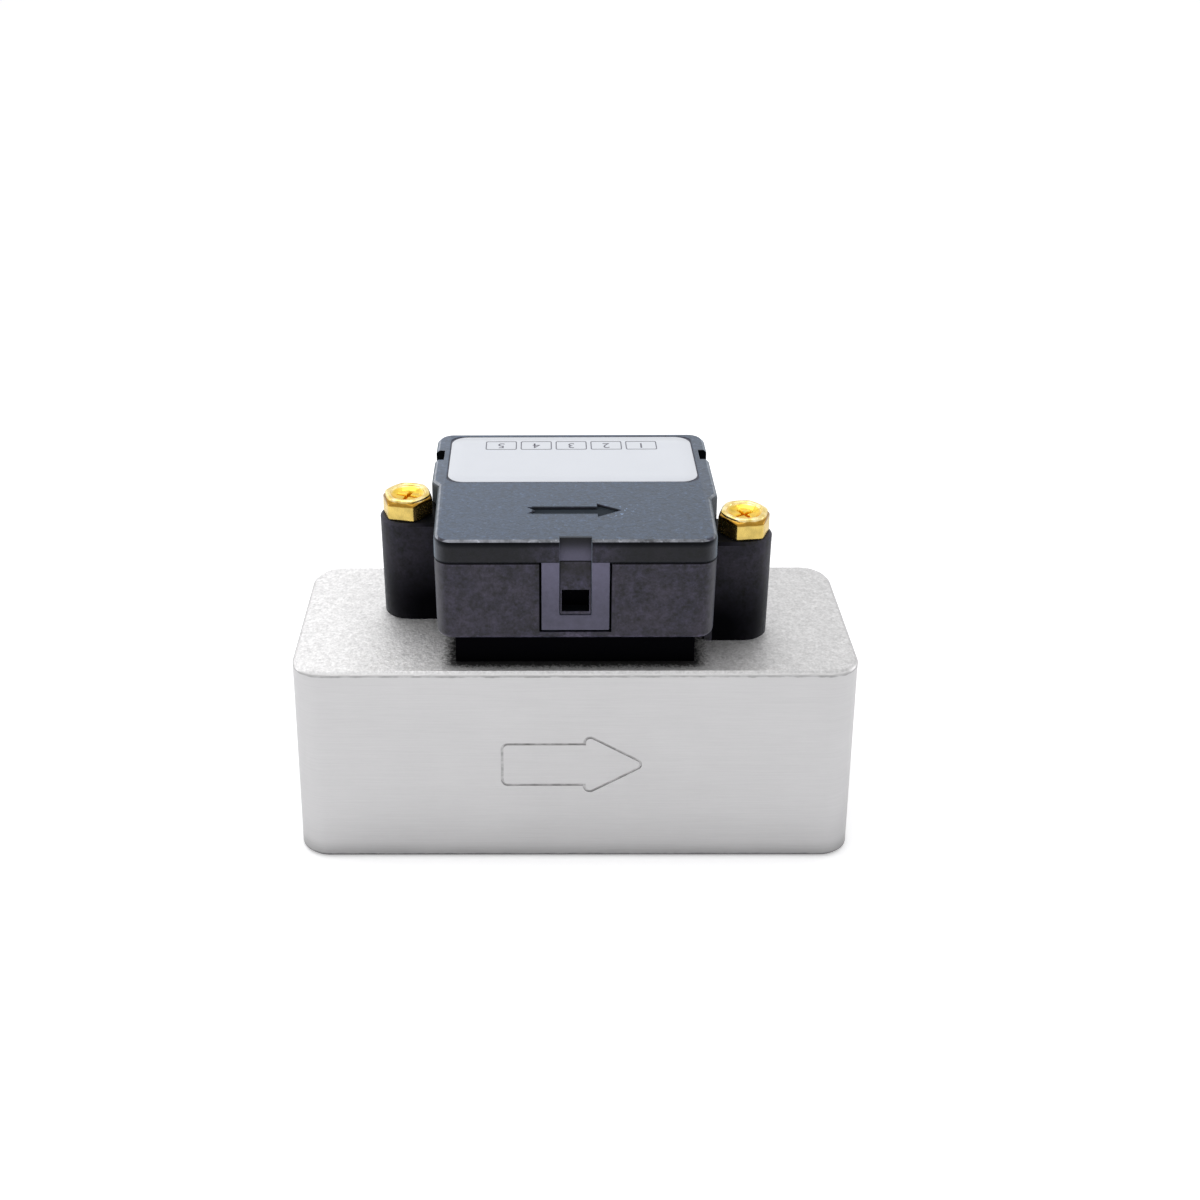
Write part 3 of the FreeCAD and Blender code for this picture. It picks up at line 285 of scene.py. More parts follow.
# Finishes of the visible surfaces
def aluminium_finish(colour):
    """Bead-blasted on top, fine horizontal brushing on the sides, and painted shade: a dark ragged
    line along the top and bottom edges, a darker top chamfer, a darker groove in the engraving, a
    front darker towards its foot, a top darker towards the right and a dark shadow round the case's
    foot."""
    made = Finish("blasted_aluminium", colour, 0.4, metallic=1.0)
    x, y, z = made.axes()
    side = x.size()
    top = z.above(BLOCK_HIGH[2] - 0.25, 0.2)
    blast = made.noise(0.30, detail=2.0, roughness=0.7)
    sparkle = made.noise(0.55, detail=1.0)
    streak = made.noise(0.16, detail=2.0, stretch=(60, 60, 1))
    fine_streak = made.noise(0.08, detail=1.0, stretch=(24, 24, 1))
    soft = made.noise(7.0, detail=4.0, roughness=0.6)
    ragged = made.noise(0.5, detail=2.0, stretch=(2, 2, 1))
    # Painted shade in the groove of the engraved arrow, ragged along its length
    groove = y.between(BLOCK_LOW[1] + 0.06, BLOCK_LOW[1] + 0.6, 0.08) * (
        1 - side.above(ARROW_HALF, 0.2)) * z.between(ARROW_LOW, ARROW_HIGH, 0.2)
    # Painted shade: a dark ragged line under the top chamfer, and the top chamfer itself a little
    # darker
    upper_line = (z + ragged * 0.12).between(BLOCK_HIGH[2] - 0.62, BLOCK_HIGH[2] - 0.34, 0.12)
    edge = z.between(BLOCK_HIGH[2] - 0.38, BLOCK_HIGH[2] - 0.03, 0.06)
    # Painted shade: a dark ragged line along the bottom edge, and the front darker towards its foot
    lower_line = 1 - (z + ragged * 0.12).above(0.50, 0.25)
    foot_shade = (1 - z.above(3.5, 8.0)) + (1 - z.above(1.2, 2.6)) * 3.0
    # Painted shadow on the block's top, in front of and beside the pedestal under the case
    case_shadow = (y + blast * 1.1).above(CASE_SHADOW_FRONT - 1.15, 1.3) * (1 - (side + blast * 1.1).above(
        CASE_SHADOW_HALF + 0.9, 2.0)) * (1 - y.above(CASE_SHADOW_BACK, 0.8)) * top
    satin = (streak * 0.040 + fine_streak * 0.030 + blast * 0.020) * (1 - top)
    grain = (blast * 0.34 + sparkle * 0.16) * top
    level = 0.955 + satin + grain + soft * 0.035
    # Painted shade: the top darker towards the right, and the front darker towards its foot
    level = level * (1 - top * (0.02 + x * 0.0034)) - foot_shade * 0.10
    # These factors darken the colour as painted shade at the groove, the edges, the chamfer and
    # round the case's foot
    painted_shade = (1 - groove * (0.20 + ragged * 0.4)) * (1 - upper_line * (0.30 + ragged * 0.3))
    painted_shade = painted_shade * (1 - lower_line * 0.5) * (1 - edge * 0.10) * (1 - case_shadow * 0.93)
    made.put("Base Color", made.shade(level * painted_shade))
    made.put("Roughness", 0.36 + top * 0.22 + blast * 0.10 + soft * 0.02)
    rough = (blast * 0.020 + sparkle * 0.014) * top
    brushed = (streak * 0.0020 + fine_streak * 0.0012 + blast * 0.0020) * (1 - top)
    return made.relief(rough + brushed)


# Colours painted on the housing: black for its deepest shade, and a paler grey as a highlight on
# its front corners
GLOOM = (0.0015, 0.0014, 0.0020)
CORNER_HIGHLIGHT = (0.075, 0.074, 0.084)


def moulded_finish(name, colour, sheen):
    """The housing's spark-textured nylon: its finish, and the noises its grain is made of."""
    made = Finish(name, colour, 0.5, Specular_IOR_Level=0.42, Sheen_Weight=sheen,
                  Sheen_Roughness=0.40, Sheen_Tint=(0.66, 0.82, 1.0, 1.0))
    grain = made.noise(0.34, detail=2.0, roughness=0.65)
    mottle = made.noise(0.95, detail=3.0, roughness=0.65)
    cloud = made.noise(3.2, detail=2.0)
    fleck = made.noise(0.42, detail=1.0).above(0.34, 0.20)
    level = 1.0 + grain * 1.2 + mottle * 1.9 + cloud * 0.8 + fleck * 0.5
    hue = made.node("MapRange", sockets={0: cloud, 1: -0.35, 2: 0.35, 3: 0.0, 4: 1.0})
    warm = made.tint(hue, tuple(c * k for c, k in zip(colour, (1.10, 1.04, 0.92))))
    return made, grain, mottle, fleck, made.shade(level, warm)


def darken(made, plain, gloom, grain, mottle, roughness):
    """Lets a surface sink to black where light hardly reaches it, and finishes its grain."""
    made.put("Base Color", made.tint(gloom, GLOOM, plain))
    made.put("Metallic", gloom)
    made.put("Roughness", roughness + grain * 0.16 + mottle * 0.10)
    return made.relief((grain * 0.014 + mottle * 0.006) * (1 - gloom))


def edge_light(side, y):
    """The rounded upright corners at the housing's front, painted paler as a highlight."""
    return side.above(15.05, 1.3) * (1 - y.above(CASE_FRONT + 1.3, 1.0))


def side_notch(side, y):
    """The notch in each side wall, towards the rear."""
    return side.above(NOTCH_SIDE, 0.05) * y.between(
        NOTCH_FRONT - 0.05, NOTCH_FRONT + NOTCH_LENGTH + 0.05, 0.05)


def case_finish(colour):
    """The moulded case: mottled walls, painted shade in the gap over the block, in the catch's
    pocket, round the latch, in the side notches and down and over the ears, a ramp painted darker
    at its top, painted highlights on the front corners, above the foot and below the parting, and a
    thin shadow at the parting line."""
    made, grain, mottle, _, plain = moulded_finish("moulded_case", colour, 0.06)
    x, y, z = made.axes()
    side = x.size()
    # Where painted shade goes: the gap over the block, the ears, the catch's pocket, round the
    # latch and the side notches
    gap = (1 - z.above(CASE_FOOT - 0.05, 0.1)) * (1 - side.above(14.6, 0.2))
    both_ears = side.above(EAR_SIDE, 0.08) * (1 - y.above(EAR_BACK, 0.6))
    near_top = z.above(EAR_TOP - 0.35, 0.1)
    ear, ear_top = both_ears * (1 - near_top), both_ears * near_top
    ear_low = 1 - z.above(31.5, 9.0)
    ear_root = 1 - side.above(19.5, 5.0)
    parting = z.above(PARTING - 0.20, 0.08)
    pocket = 1 - side.above(WINDOW_HALF, 0.05)
    pocket = pocket * y.between(CASE_FRONT + 0.22, CASE_FRONT + 2.6, 0.06)
    pocket = pocket * z.between(LATCH_FOOT + 2.25, LATCH_FOOT + 5.12, 0.06)
    reveal = side.between(LATCH_HALF, RECESS_HALF, 0.05) * z.above(LATCH_FOOT - 0.4, 0.05)
    under = z.between(LATCH_FOOT - 0.5, LATCH_FOOT + 0.05, 0.05)
    under = under * (1 - side.above(RECESS_HALF, 0.05))
    recess = y.between(CASE_FRONT + 0.3, CASE_FRONT + 2.0, 0.1)
    ramp = (1 - side.above(RAMP_HALF, 0.03)) * (1 - y.above(CASE_FRONT + 1.2, 0.1))
    ramp_low = 1 - z.above(LATCH_FOOT + 6.3, 2.6)
    # Painted highlights: a light line below the parting and one just above the foot; the ramp is
    # painted darker at its top and lighter at its foot as painted shade
    light_line = z.between(PARTING - 0.44, PARTING - 0.22, 0.1)
    foot_line = z.between(CASE_FOOT + 0.12, CASE_FOOT + 0.5, 0.3) * (1 - side.above(15.9, 0.1))
    lifted = made.shade(1.0 + light_line * 0.3 + foot_line * 1.1
                        + ramp * (ramp_low * 1.1 - 0.45), plain)
    # A painted highlight on the rounded front corners
    lifted = made.tint(edge_light(side, y) * (0.8 + mottle * 0.6), CORNER_HIGHLIGHT, lifted)
    # Painted shade: black in the gap, the pocket, round the latch and in the notches, darker down
    # and over the ears, and the dark parting line
    gloom = gap.most(ear * (0.40 + ear_low * 0.48 + ear_root * 0.14)).most(parting * 0.9)
    gloom = gloom.most(ear_top * (0.30 + ear_root * 0.62))
    gloom = gloom.most(pocket).most(reveal.most(under) * recess)
    gloom = gloom.most(side_notch(side, y) * parting)
    return darken(made, lifted, gloom, grain, mottle, 0.50)


def lid_finish(colour, latch_colour):
    """The moulded lid: a top painted lighter and bluer as painted light, a painted highlight along
    the rim over a painted shadow line, a skirt darkened by painted shade, a smooth pale latch
    painted lighter towards its top, its slanting channel painted in shade at the top, and a dull
    arrow."""
    made, grain, mottle, fleck, plain = moulded_finish("moulded_lid", colour, 0.60)
    x, y, z = made.axes()
    side = x.size()
    top = z.above(LID_TOP - 0.03, 0.02)
    inside = (1 - side.above(15.3, 0.1)) * y.between(CASE_FRONT + 0.45, CASE_HIGH[1] - 0.45, 0.1)
    latch = (1 - z.above(PARTING - 0.04, 0.06)) * (1 - y.above(CASE_FRONT + 1.2, 0.1))
    channel = 1 - side.above(CHANNEL_HALF, 0.04)
    channel = channel * y.between(CASE_FRONT + 0.3, CASE_FRONT + 1.2, 0.1)
    channel = channel * z.above(PARTING - 0.04, 0.06)
    notch = side_notch(side, y) * (1 - z.above(LID_TOP - 0.06, 0.05))
    # Where the lid's edge gets a painted highlight
    rim = z.between(LID_TOP - 0.24, LID_TOP - 0.01, 0.04) * (1 - inside) * (1 - channel)
    skirt = (1 - z.above(LID_TOP - 0.25, 0.04)) * z.above(PARTING - 0.04, 0.06)
    skirt = skirt * (1 - channel)
    shadow = z.above(LID_TOP - 0.80, 0.9) * skirt * (1 - side.above(15.6, 1.0))
    # The skirt gets less painted shade round the latch
    near_latch = (1 - side.above(4.6, 4.6)) * (1 - y.above(0.0, 1.0)) * skirt
    shaft = (y - LID_ARROW_Y + mottle * 0.12).size()
    painted = (1 - shaft.above(1.02, 0.12)) * (x + mottle * 0.1).between(-4.9, 2.9, 0.1) * top
    arrow = (1 - z.above(LID_TOP - 0.14, 0.08)) * inside * z.above(LID_TOP - 0.5, 0.05)
    arrow = arrow * (1 - channel) * (1 - side.above(7.0, 0.1)) * (1 - y.above(-1.0, 0.1))
    arrow = arrow.most(painted)
    chip = fleck * (1 - (x - 5.4).size().above(1.5, 1.6)) * (1 - shaft.above(1.4, 1.4)) * top
    # The top painted lighter and bluer than the housing and darker towards the right, as painted
    # light; its grain, flecks and chips are its own
    lit_top = made.shade(1.12 - x * 0.012 + grain * 1.3 + mottle * 0.7 + fleck * 0.8 + chip * 5.0,
                      (colour[0] * 1.7, colour[1] * 2.6, colour[2] * 2.3))
    # A painted highlight along the rim, fading towards the right
    rim_highlight = made.shade(0.84 - x * 0.014 + mottle * 1.3 + fleck * 0.6, (0.24, 0.25, 0.28))
    # The latch's own paler colour, painted lighter towards its top as painted light
    paler = made.shade(0.96 + grain * 0.16 + mottle * 0.34 + z.above(PARTING - 3.0, 7.0) * 0.62,
                       latch_colour)
    # Painted shade: the channel dark at its top and lighter lower down
    channel_shade = made.shade(0.12 + (1 - z.above(PARTING + 1.5, 2.2)) * 0.95 + grain * 0.1,
                        latch_colour)
    # The skirt painted darker as shade, less of it near the latch
    dark_skirt = made.shade(0.22 + near_latch * 1.1, plain)
    # A painted highlight on the skirt's rounded front corners
    dark_skirt = made.tint(edge_light(side, y) * 0.8, CORNER_HIGHLIGHT, dark_skirt)
    surface = made.tint(top, lit_top, plain)
    surface = made.tint(skirt, dark_skirt, surface)
    surface = made.tint(rim, rim_highlight, surface)
    surface = made.tint(channel, channel_shade, surface)
    surface = made.tint(latch, paler, surface)
    surface = made.tint(arrow, (0.006, 0.008, 0.013), surface)
    parting = skirt * (1 - z.above(PARTING + 0.09, 0.06))
    # Painted shade under the rim, on the skirt, in the notches and at the top of the channel, and
    # the dark parting line
    gloom = (shadow * 0.9).most(parting * 0.95).most(skirt * 0.24).most(notch)
    gloom = gloom.most(channel * z.above(LID_TOP - 1.0, 1.4) * 0.4)
    return darken(made, surface, gloom, grain * (1 - latch * 0.7), mottle,
                  0.50 - top * 0.08 + arrow * 0.48)


def brass_finish(name, colour, axis, top):
    """Formed brass: a pale rim as a painted highlight, a deep yellow dish and an amber painted
    shade under the rim.
    """
    made = Finish(name, colour, 0.24, metallic=1.0)
    z = made.axes()[2]
    from_axis = made.node("VectorMath", {"operation": "SUBTRACT"},
                          {0: made.place, 1: (axis[0], axis[1], 0.0)})
    flat = made.node("VectorMath", {"operation": "MULTIPLY"}, {0: from_axis, 1: (1.0, 1.0, 0.0)})
    reach = made.node("VectorMath", {"operation": "LENGTH"}, {0: flat}, output="Value")
    soft = made.noise(1.1, detail=3.0)
    scuff = made.noise(0.16, detail=2.0, stretch=(1, 1, 3))
    # A pale painted highlight on the rim's crest, and an amber painted shade on the band under the
    # rim
    rim = reach.between(1.9, 2.95, 0.15) * (z + soft * 0.1).above(top - 0.36, 0.14)
    band = reach.above(2.3, 0.2) * (z + soft * 0.12).between(top - 0.82, top - 0.34, 0.16)
    dish = (1 - reach.above(1.88, 0.3)) * z.above(top - 2.2, 0.1)
    tone = made.tint(rim * (0.62 + soft * 1.8), (0.95, 0.80, 0.43))
    tone = made.tint(band, (0.40, 0.215, 0.03), tone)
    tone = made.tint(dish, (0.88, 0.585, 0.075), tone)
    made.put("Base Color", made.shade(0.96 + soft * 0.42 + scuff * 0.14, tone))
    made.put("Roughness", 0.25 + soft * 0.08 + scuff * 0.06 - dish * 0.05)
    return made.relief(soft * 0.034 + scuff * 0.003)


def label_finish(colour):
    """Smooth white film with a faint unevenness from the adhesive under it."""
    made = Finish("label_film", colour, 0.34, Specular_IOR_Level=0.4)
    wave = made.noise(3.2, detail=2.0)
    fibre = made.noise(0.25, detail=3.0)
    made.put("Base Color", made.shade(1.0 + wave * 0.02 + fibre * 0.012))
    made.put("Roughness", 0.34 + fibre * 0.05)
    return made.relief(wave * 0.006 + fibre * 0.0006)


def ink_finish(colour):
    """Printed ink, thinner in spots."""
    made = Finish("label_ink", colour, 0.5)
    spot = made.noise(0.12, detail=2.0)
    made.put("Base Color", made.shade(1.05 + spot * 0.35))
    made.put("Roughness", 0.5 + spot * 0.08)
    return made.material


def steel_finish():
    """Plain stainless steel with a light grain."""
    made = Finish("plain_stainless", (0.60, 0.60, 0.61), 0.32, metallic=1.0)
    grain = made.noise(0.15, detail=3.0)
    soft = made.noise(1.6)
    made.put("Base Color", made.shade(1.0 + grain * 0.06 + soft * 0.05))
    made.put("Roughness", 0.32 + grain * 0.08)
    return made.relief(grain * 0.002)


def rubber_finish():
    """Matt black sealing rubber."""
    made = Finish("seal_rubber", (0.018, 0.018, 0.019), 0.78)
    grain = made.noise(0.2, detail=3.0)
    made.put("Base Color", made.shade(1.0 + grain * 0.3))
    made.put("Roughness", 0.78 + grain * 0.08)
    return made.relief(grain * 0.004)


def board_finish():
    """Green solder mask, paler over the copper tracks beneath it."""
    made = Finish("solder_mask", (0.012, 0.105, 0.045), 0.3, Coat_Weight=0.3)
    x, y, _ = made.axes()
    wander = made.noise(5.0)
    track = made.node("Math", {"operation": "PINGPONG"}, {0: x + y * 0.4 + wander * 2.0, 1: 0.55})
    copper = track.above(0.33, 0.06)
    grain = made.noise(0.3, detail=2.0)
    made.put("Base Color", made.tint(copper, (0.03, 0.20, 0.09), made.shade(1.0 + grain * 0.1)))
    made.put("Roughness", 0.3 + grain * 0.05)
    return made.relief(copper * 0.02)


def package_finish(name, colour, roughness):
    """Moulded or fired electronic parts, with tinned feet where they meet the board."""
    made = Finish(name, colour, roughness)
    z = made.axes()[2]
    grain = made.noise(0.14, detail=2.0)
    foot = 1 - z.above(BOARD_TOP + 0.13, 0.06)
    made.put("Base Color", made.tint(foot, (0.62, 0.61, 0.58), made.shade(1.0 + grain * 0.15)))
    made.put("Roughness", roughness + grain * 0.08)
    made.put("Metallic", foot)
    return made.relief(grain * 0.003)


def connector_finish():
    """Smooth black nylon of the plug-in header."""
    made = Finish("header_nylon", (0.022, 0.022, 0.024), 0.42)
    grain = made.noise(0.25, detail=3.0)
    made.put("Base Color", made.shade(1.0 + grain * 0.2))
    made.put("Roughness", 0.42 + grain * 0.06)
    return made.relief(grain * 0.002)


def pin_finish():
    """Tinned brass pins."""
    made = Finish("tinned_pins", (0.78, 0.74, 0.64), 0.25, metallic=1.0)
    streak = made.noise(0.06, stretch=(1, 12, 12))
    made.put("Base Color", made.shade(1.0 + streak * 0.06))
    made.put("Roughness", 0.25 + streak * 0.06)
    return made.relief(streak * 0.001)


def silicon_finish():
    """Polished silicon with its fine metal lines."""
    made = Finish("sensor_silicon", (0.16, 0.17, 0.24), 0.15, metallic=0.4)
    x = made.axes()[0]
    line = made.node("Math", {"operation": "PINGPONG"}, {0: x, 1: 0.12}).above(0.085, 0.01)
    made.put("Base Color", made.tint(line, (0.75, 0.62, 0.35)))
    made.put("Roughness", 0.15 + line * 0.1)
    return made.material


# Making and placing pieces
def add_piece(name, mesh, material, slot, *nodes):
    """Links a mesh as a piece that rides on the part and may stand for CAD nodes."""
    piece = bpy.data.objects.new(name, mesh)
    bpy.context.scene.collection.objects.link(piece)
    mesh.materials.clear()
    mesh.materials.append(material)
    mesh.shade_smooth()
    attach(piece, "root")
    if nodes:
        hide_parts(*nodes)
    return piece


def grid_mesh(name, points, closed=False):
    """Quads over a grid of points, rows by columns by XYZ in millimetres. The columns run round
    and join; a closed grid also has a point at the middle of its first and last row."""
    rows, columns = points.shape[:2]
    corner = np.arange(rows * columns).reshape(rows, columns)
    ahead = np.roll(corner, -1, axis=1)
    quads = np.stack([corner[:-1], ahead[:-1], ahead[1:], corner[1:]], axis=-1).reshape(-1, 4)
    places = points.reshape(-1, 3)
    faces = quads.tolist()
    if closed:
        places = np.vstack([places, points[0].mean(axis=0), points[-1].mean(axis=0)])
        foot, crown = len(places) - 2, len(places) - 1
        last = corner[-1]
        faces += np.stack([ahead[0], corner[0], np.full(columns, foot)], axis=-1).tolist()
        faces += np.stack([last, ahead[-1], np.full(columns, crown)], axis=-1).tolist()
    mesh = bpy.data.meshes.new(name)
    mesh.from_pydata((places * MM).tolist(), [], faces)
    mesh.update()
    return mesh


def merged_copy(node):
    """The CAD node's triangles as one shell, with shared corners."""
    shell = bmesh.new()
    shell.from_mesh(frame["nodes"][node].data)
    bmesh.ops.remove_doubles(shell, verts=shell.verts, dist=MERGE * MM)
    return shell


def shell_mesh(name, shell):
    """Joins the triangles of each flat face and hands the shell over as a mesh."""
    flat_angle = math.radians(0.4)
    bmesh.ops.dissolve_limit(shell, angle_limit=flat_angle, verts=shell.verts, edges=shell.edges)
    mesh = bpy.data.meshes.new(name)
    shell.to_mesh(mesh)
    shell.free()
    return mesh


def round_edges(piece, width):
    """Rounds the sharp edges by a width in metres and keeps the flats' shading flat."""
    bevel = piece.modifiers.new("edge_round", "BEVEL")
    bevel.width = width
    bevel.segments = 2
    bevel.limit_method = "ANGLE"
    bevel.angle_limit = math.radians(32)
    bevel.miter_outer = "MITER_ARC"
    normals = piece.modifiers.new("flat_shading", "WEIGHTED_NORMAL")
    normals.keep_sharp = False
    normals.weight = 80


def dress(material, *nodes):
    """Gives CAD nodes that stay as they are their finish."""
    for node in nodes:
        mesh = frame["nodes"][node].data
        mesh.materials.clear()
        mesh.materials.append(material)


# The flow block, with the thread cut into the walls of its two ports
def thread_surface(name, angles, start, end, radius, pitch, depth):
    """The wall of a threaded bore along X. Its radius is the core's plus the depth times a
    rounded tooth, which moves on by one pitch for each turn and fades out at both ends."""
    rows_per_turn, tooth_power, fade_length = 14, 0.8, 0.6 * pitch
    rows = int(abs(end - start) / pitch * rows_per_turn)
    along = np.linspace(start, end, rows)[:, None]
    turn = angles[None, :]
    phase = along / pitch - turn / TAU
    tooth = (0.5 - 0.5 * np.cos(TAU * phase)) ** tooth_power
    fade = np.clip(np.minimum(abs(along - start), abs(along - end)) / fade_length, 0, 1)
    reach = radius + depth * tooth * fade
    points = np.stack([along + 0 * reach, reach * np.cos(turn),
                       PORT_AXIS + reach * np.sin(turn)], axis=-1)
    return grid_mesh(name, points)


def cut_thread(shell, seat, radius, pitch, depth):
    """Takes out the plain wall between a port's seat and its mouth and puts the thread in."""
    outward = math.copysign(1, seat)
    slack = 0.02

    def on_wall(vert):
        x, y, z = vert.co / MM
        return (abs(math.hypot(y, z - PORT_AXIS) - radius) < slack
                and outward * (x - seat) > -slack)

    wall = [face for face in shell.faces if all(map(on_wall, face.verts))]
    if not wall:
        raise RuntimeError("The port's plain wall was not found.")
    mouth = outward * max(outward * vert.co.x / MM for face in wall for vert in face.verts)
    rim = [v for v in shell.verts if on_wall(v) and abs(v.co.x / MM - seat) < slack]
    angles = np.sort([math.atan2(v.co.z / MM - PORT_AXIS, v.co.y / MM) for v in rim])
    bmesh.ops.delete(shell, geom=wall, context="FACES")
    thread = thread_surface("thread", angles, mouth, seat, radius, pitch, depth)
    shell.from_mesh(thread)
    bpy.data.meshes.remove(thread)
    bmesh.ops.remove_doubles(shell, verts=shell.verts, dist=MERGE * MM)
    if any(len(edge.link_faces) != 2 for edge in shell.edges):
        raise RuntimeError("The thread left the flow block's shell open.")


class FLOWSENSOR_OT_flow_block(Operator):
    """Make the aluminium flow block with its threaded ports and engraved arrow"""
    bl_idname = "flowsensor.flow_block"
    bl_label = "Flow Block"

    def execute(self, context):
        settings = context.scene.flow_sensor
        sizes = settings.sizes
        shell = merged_copy("flow_block")
        for mount in frame["record"]["mounts"]:
            if mount["kind"] != "threaded_hole":
                continue
            if mount["pos_m"][0] > 0:
                seat = cad_box("outlet_screen_ring")[1][0]
            else:
                seat = cad_box("inlet_screen_ring")[0][0]
            cut_thread(shell, seat, mount["dims"]["r_mm"],
                       sizes.thread_pitch / MM, sizes.thread_depth / MM)
        bmesh.ops.recalc_face_normals(shell, faces=shell.faces)
        block = add_piece("flow_block_body", shell_mesh("flow_block_body", shell),
                          aluminium_finish(settings.colours.aluminium),
                          "aluminium_body", "flow_block")
        round_edges(block, sizes.machined_edge)
        return {"FINISHED"}


class FLOWSENSOR_OT_housing(Operator):
    """Make the moulded case and its snap lid"""
    bl_idname = "flowsensor.housing"
    bl_label = "Housing"

    def execute(self, context):
        settings = context.scene.flow_sensor
        colours = settings.colours
        for name, node, finish in (
                ("housing_case", "sensor_case", case_finish(tuple(colours.housing))),
                ("housing_lid", "lid",
                 lid_finish(tuple(colours.housing), tuple(colours.latch)))):
            piece = add_piece(name, shell_mesh(name, merged_copy(node)), finish,
                              "black_housing", node)
            round_edges(piece, settings.sizes.moulded_edge)
        return {"FINISHED"}


# The label: a rounded sheet, with the pin numbers printed for a reader behind the sensor
def rounded_outline(half_x, half_y, corner, steps=12):
    """Points round a rectangle with quarter-circle corners, anticlockwise."""
    turn = np.linspace(0, math.pi / 2, steps)
    quarters = [(1, 1, 0), (-1, 1, 1), (-1, -1, 2), (1, -1, 3)]
    parts = [np.stack([sx * (half_x - corner) + corner * np.cos(turn + q * math.pi / 2),
                       sy * (half_y - corner) + corner * np.sin(turn + q * math.pi / 2)], axis=-1)
             for sx, sy, q in quarters]
    return np.concatenate(parts)


def sheet_mesh(name, centre, half_x, half_y, corner, foot, top):
    """A thin rounded sheet: one outline carried up the edge, then drawn in over the top."""
    rows = []
    soft = (top - foot) * 0.3
    for inset, height in ((soft, foot), (0, foot + soft), (0, top - soft), (soft, top),
                          (corner * 0.9, top)):
        ring = rounded_outline(half_x - inset, half_y - inset, max(corner - inset, 0.05))
        rows.append(np.column_stack([ring + centre, np.full(len(ring), height)]))
    return grid_mesh(name, np.array(rows), closed=True)


def frame_mesh(name, centre, half_x, half_y, line, height):
    """A thin printed rectangle: a flat ring between two rounded outlines, with a little body."""
    rows = []
    corner, top = 0.25, height + line / 8
    for inset, level in ((0, height), (0, top), (line, top), (line, height), (0, height)):
        ring = rounded_outline(half_x - inset, half_y - inset, corner - inset / 2, steps=5)
        rows.append(np.column_stack([ring + centre, np.full(len(ring), level)]))
    return grid_mesh(name, np.array(rows))


def number_mesh(name, text, centre, height_mm, level):
    """A plain numeral as a thin solid, turned to be read from the sensor's rear."""
    size_per_height, half_body = 1.35, 0.006
    curve = bpy.data.curves.new(name, "FONT")
    curve.body = text
    curve.align_x = curve.align_y = "CENTER"
    curve.size = height_mm * MM * size_per_height
    curve.extrude = half_body * MM
    holder = bpy.data.objects.new(name, curve)
    mesh = bpy.data.meshes.new_from_object(holder)
    bpy.data.objects.remove(holder)
    place = Matrix.Translation(Vector((*centre, level)) * MM) @ Matrix.Rotation(math.pi, 4, "Z")
    mesh.transform(place)
    return mesh


class FLOWSENSOR_OT_label(Operator):
    """Make the white label with its plain pin numbers"""
    bl_idname = "flowsensor.label"
    bl_label = "Label"

    def execute(self, context):
        settings = context.scene.flow_sensor
        centre = (LABEL_LOW[:2] + LABEL_HIGH[:2]) / 2
        half_x, half_y = (LABEL_HIGH[:2] - LABEL_LOW[:2]) / 2
        top, corner = LABEL_HIGH[2], 2.0
        sheet = sheet_mesh("label_sheet", centre, half_x, half_y, corner, LABEL_LOW[2], top)
        add_piece("label_sheet", sheet, label_finish(settings.colours.label), "white_label",
                  "label")
        ink = ink_finish(settings.colours.ink)
        count, pitch, offset = 5, 4.4, 0.002
        box_half_x, box_half_y, line = pitch / 2 - 0.25, 1.25, 0.12
        row_y = LABEL_HIGH[1] - 2.6
        for index in range(count):
            spot = np.array([pitch * ((count - 1) / 2 - index), row_y])
            number = number_mesh(f"pin_number_{index + 1}", str(index + 1), spot,
                                 settings.sizes.print_height / MM, top + offset)
            add_piece(f"pin_number_{index + 1}", number, ink, "white_label")
            box = frame_mesh(f"pin_box_{index + 1}", spot, box_half_x, box_half_y, line,
                             top - offset)
            add_piece(f"pin_box_{index + 1}", box, ink, "white_label")
        return {"FINISHED"}


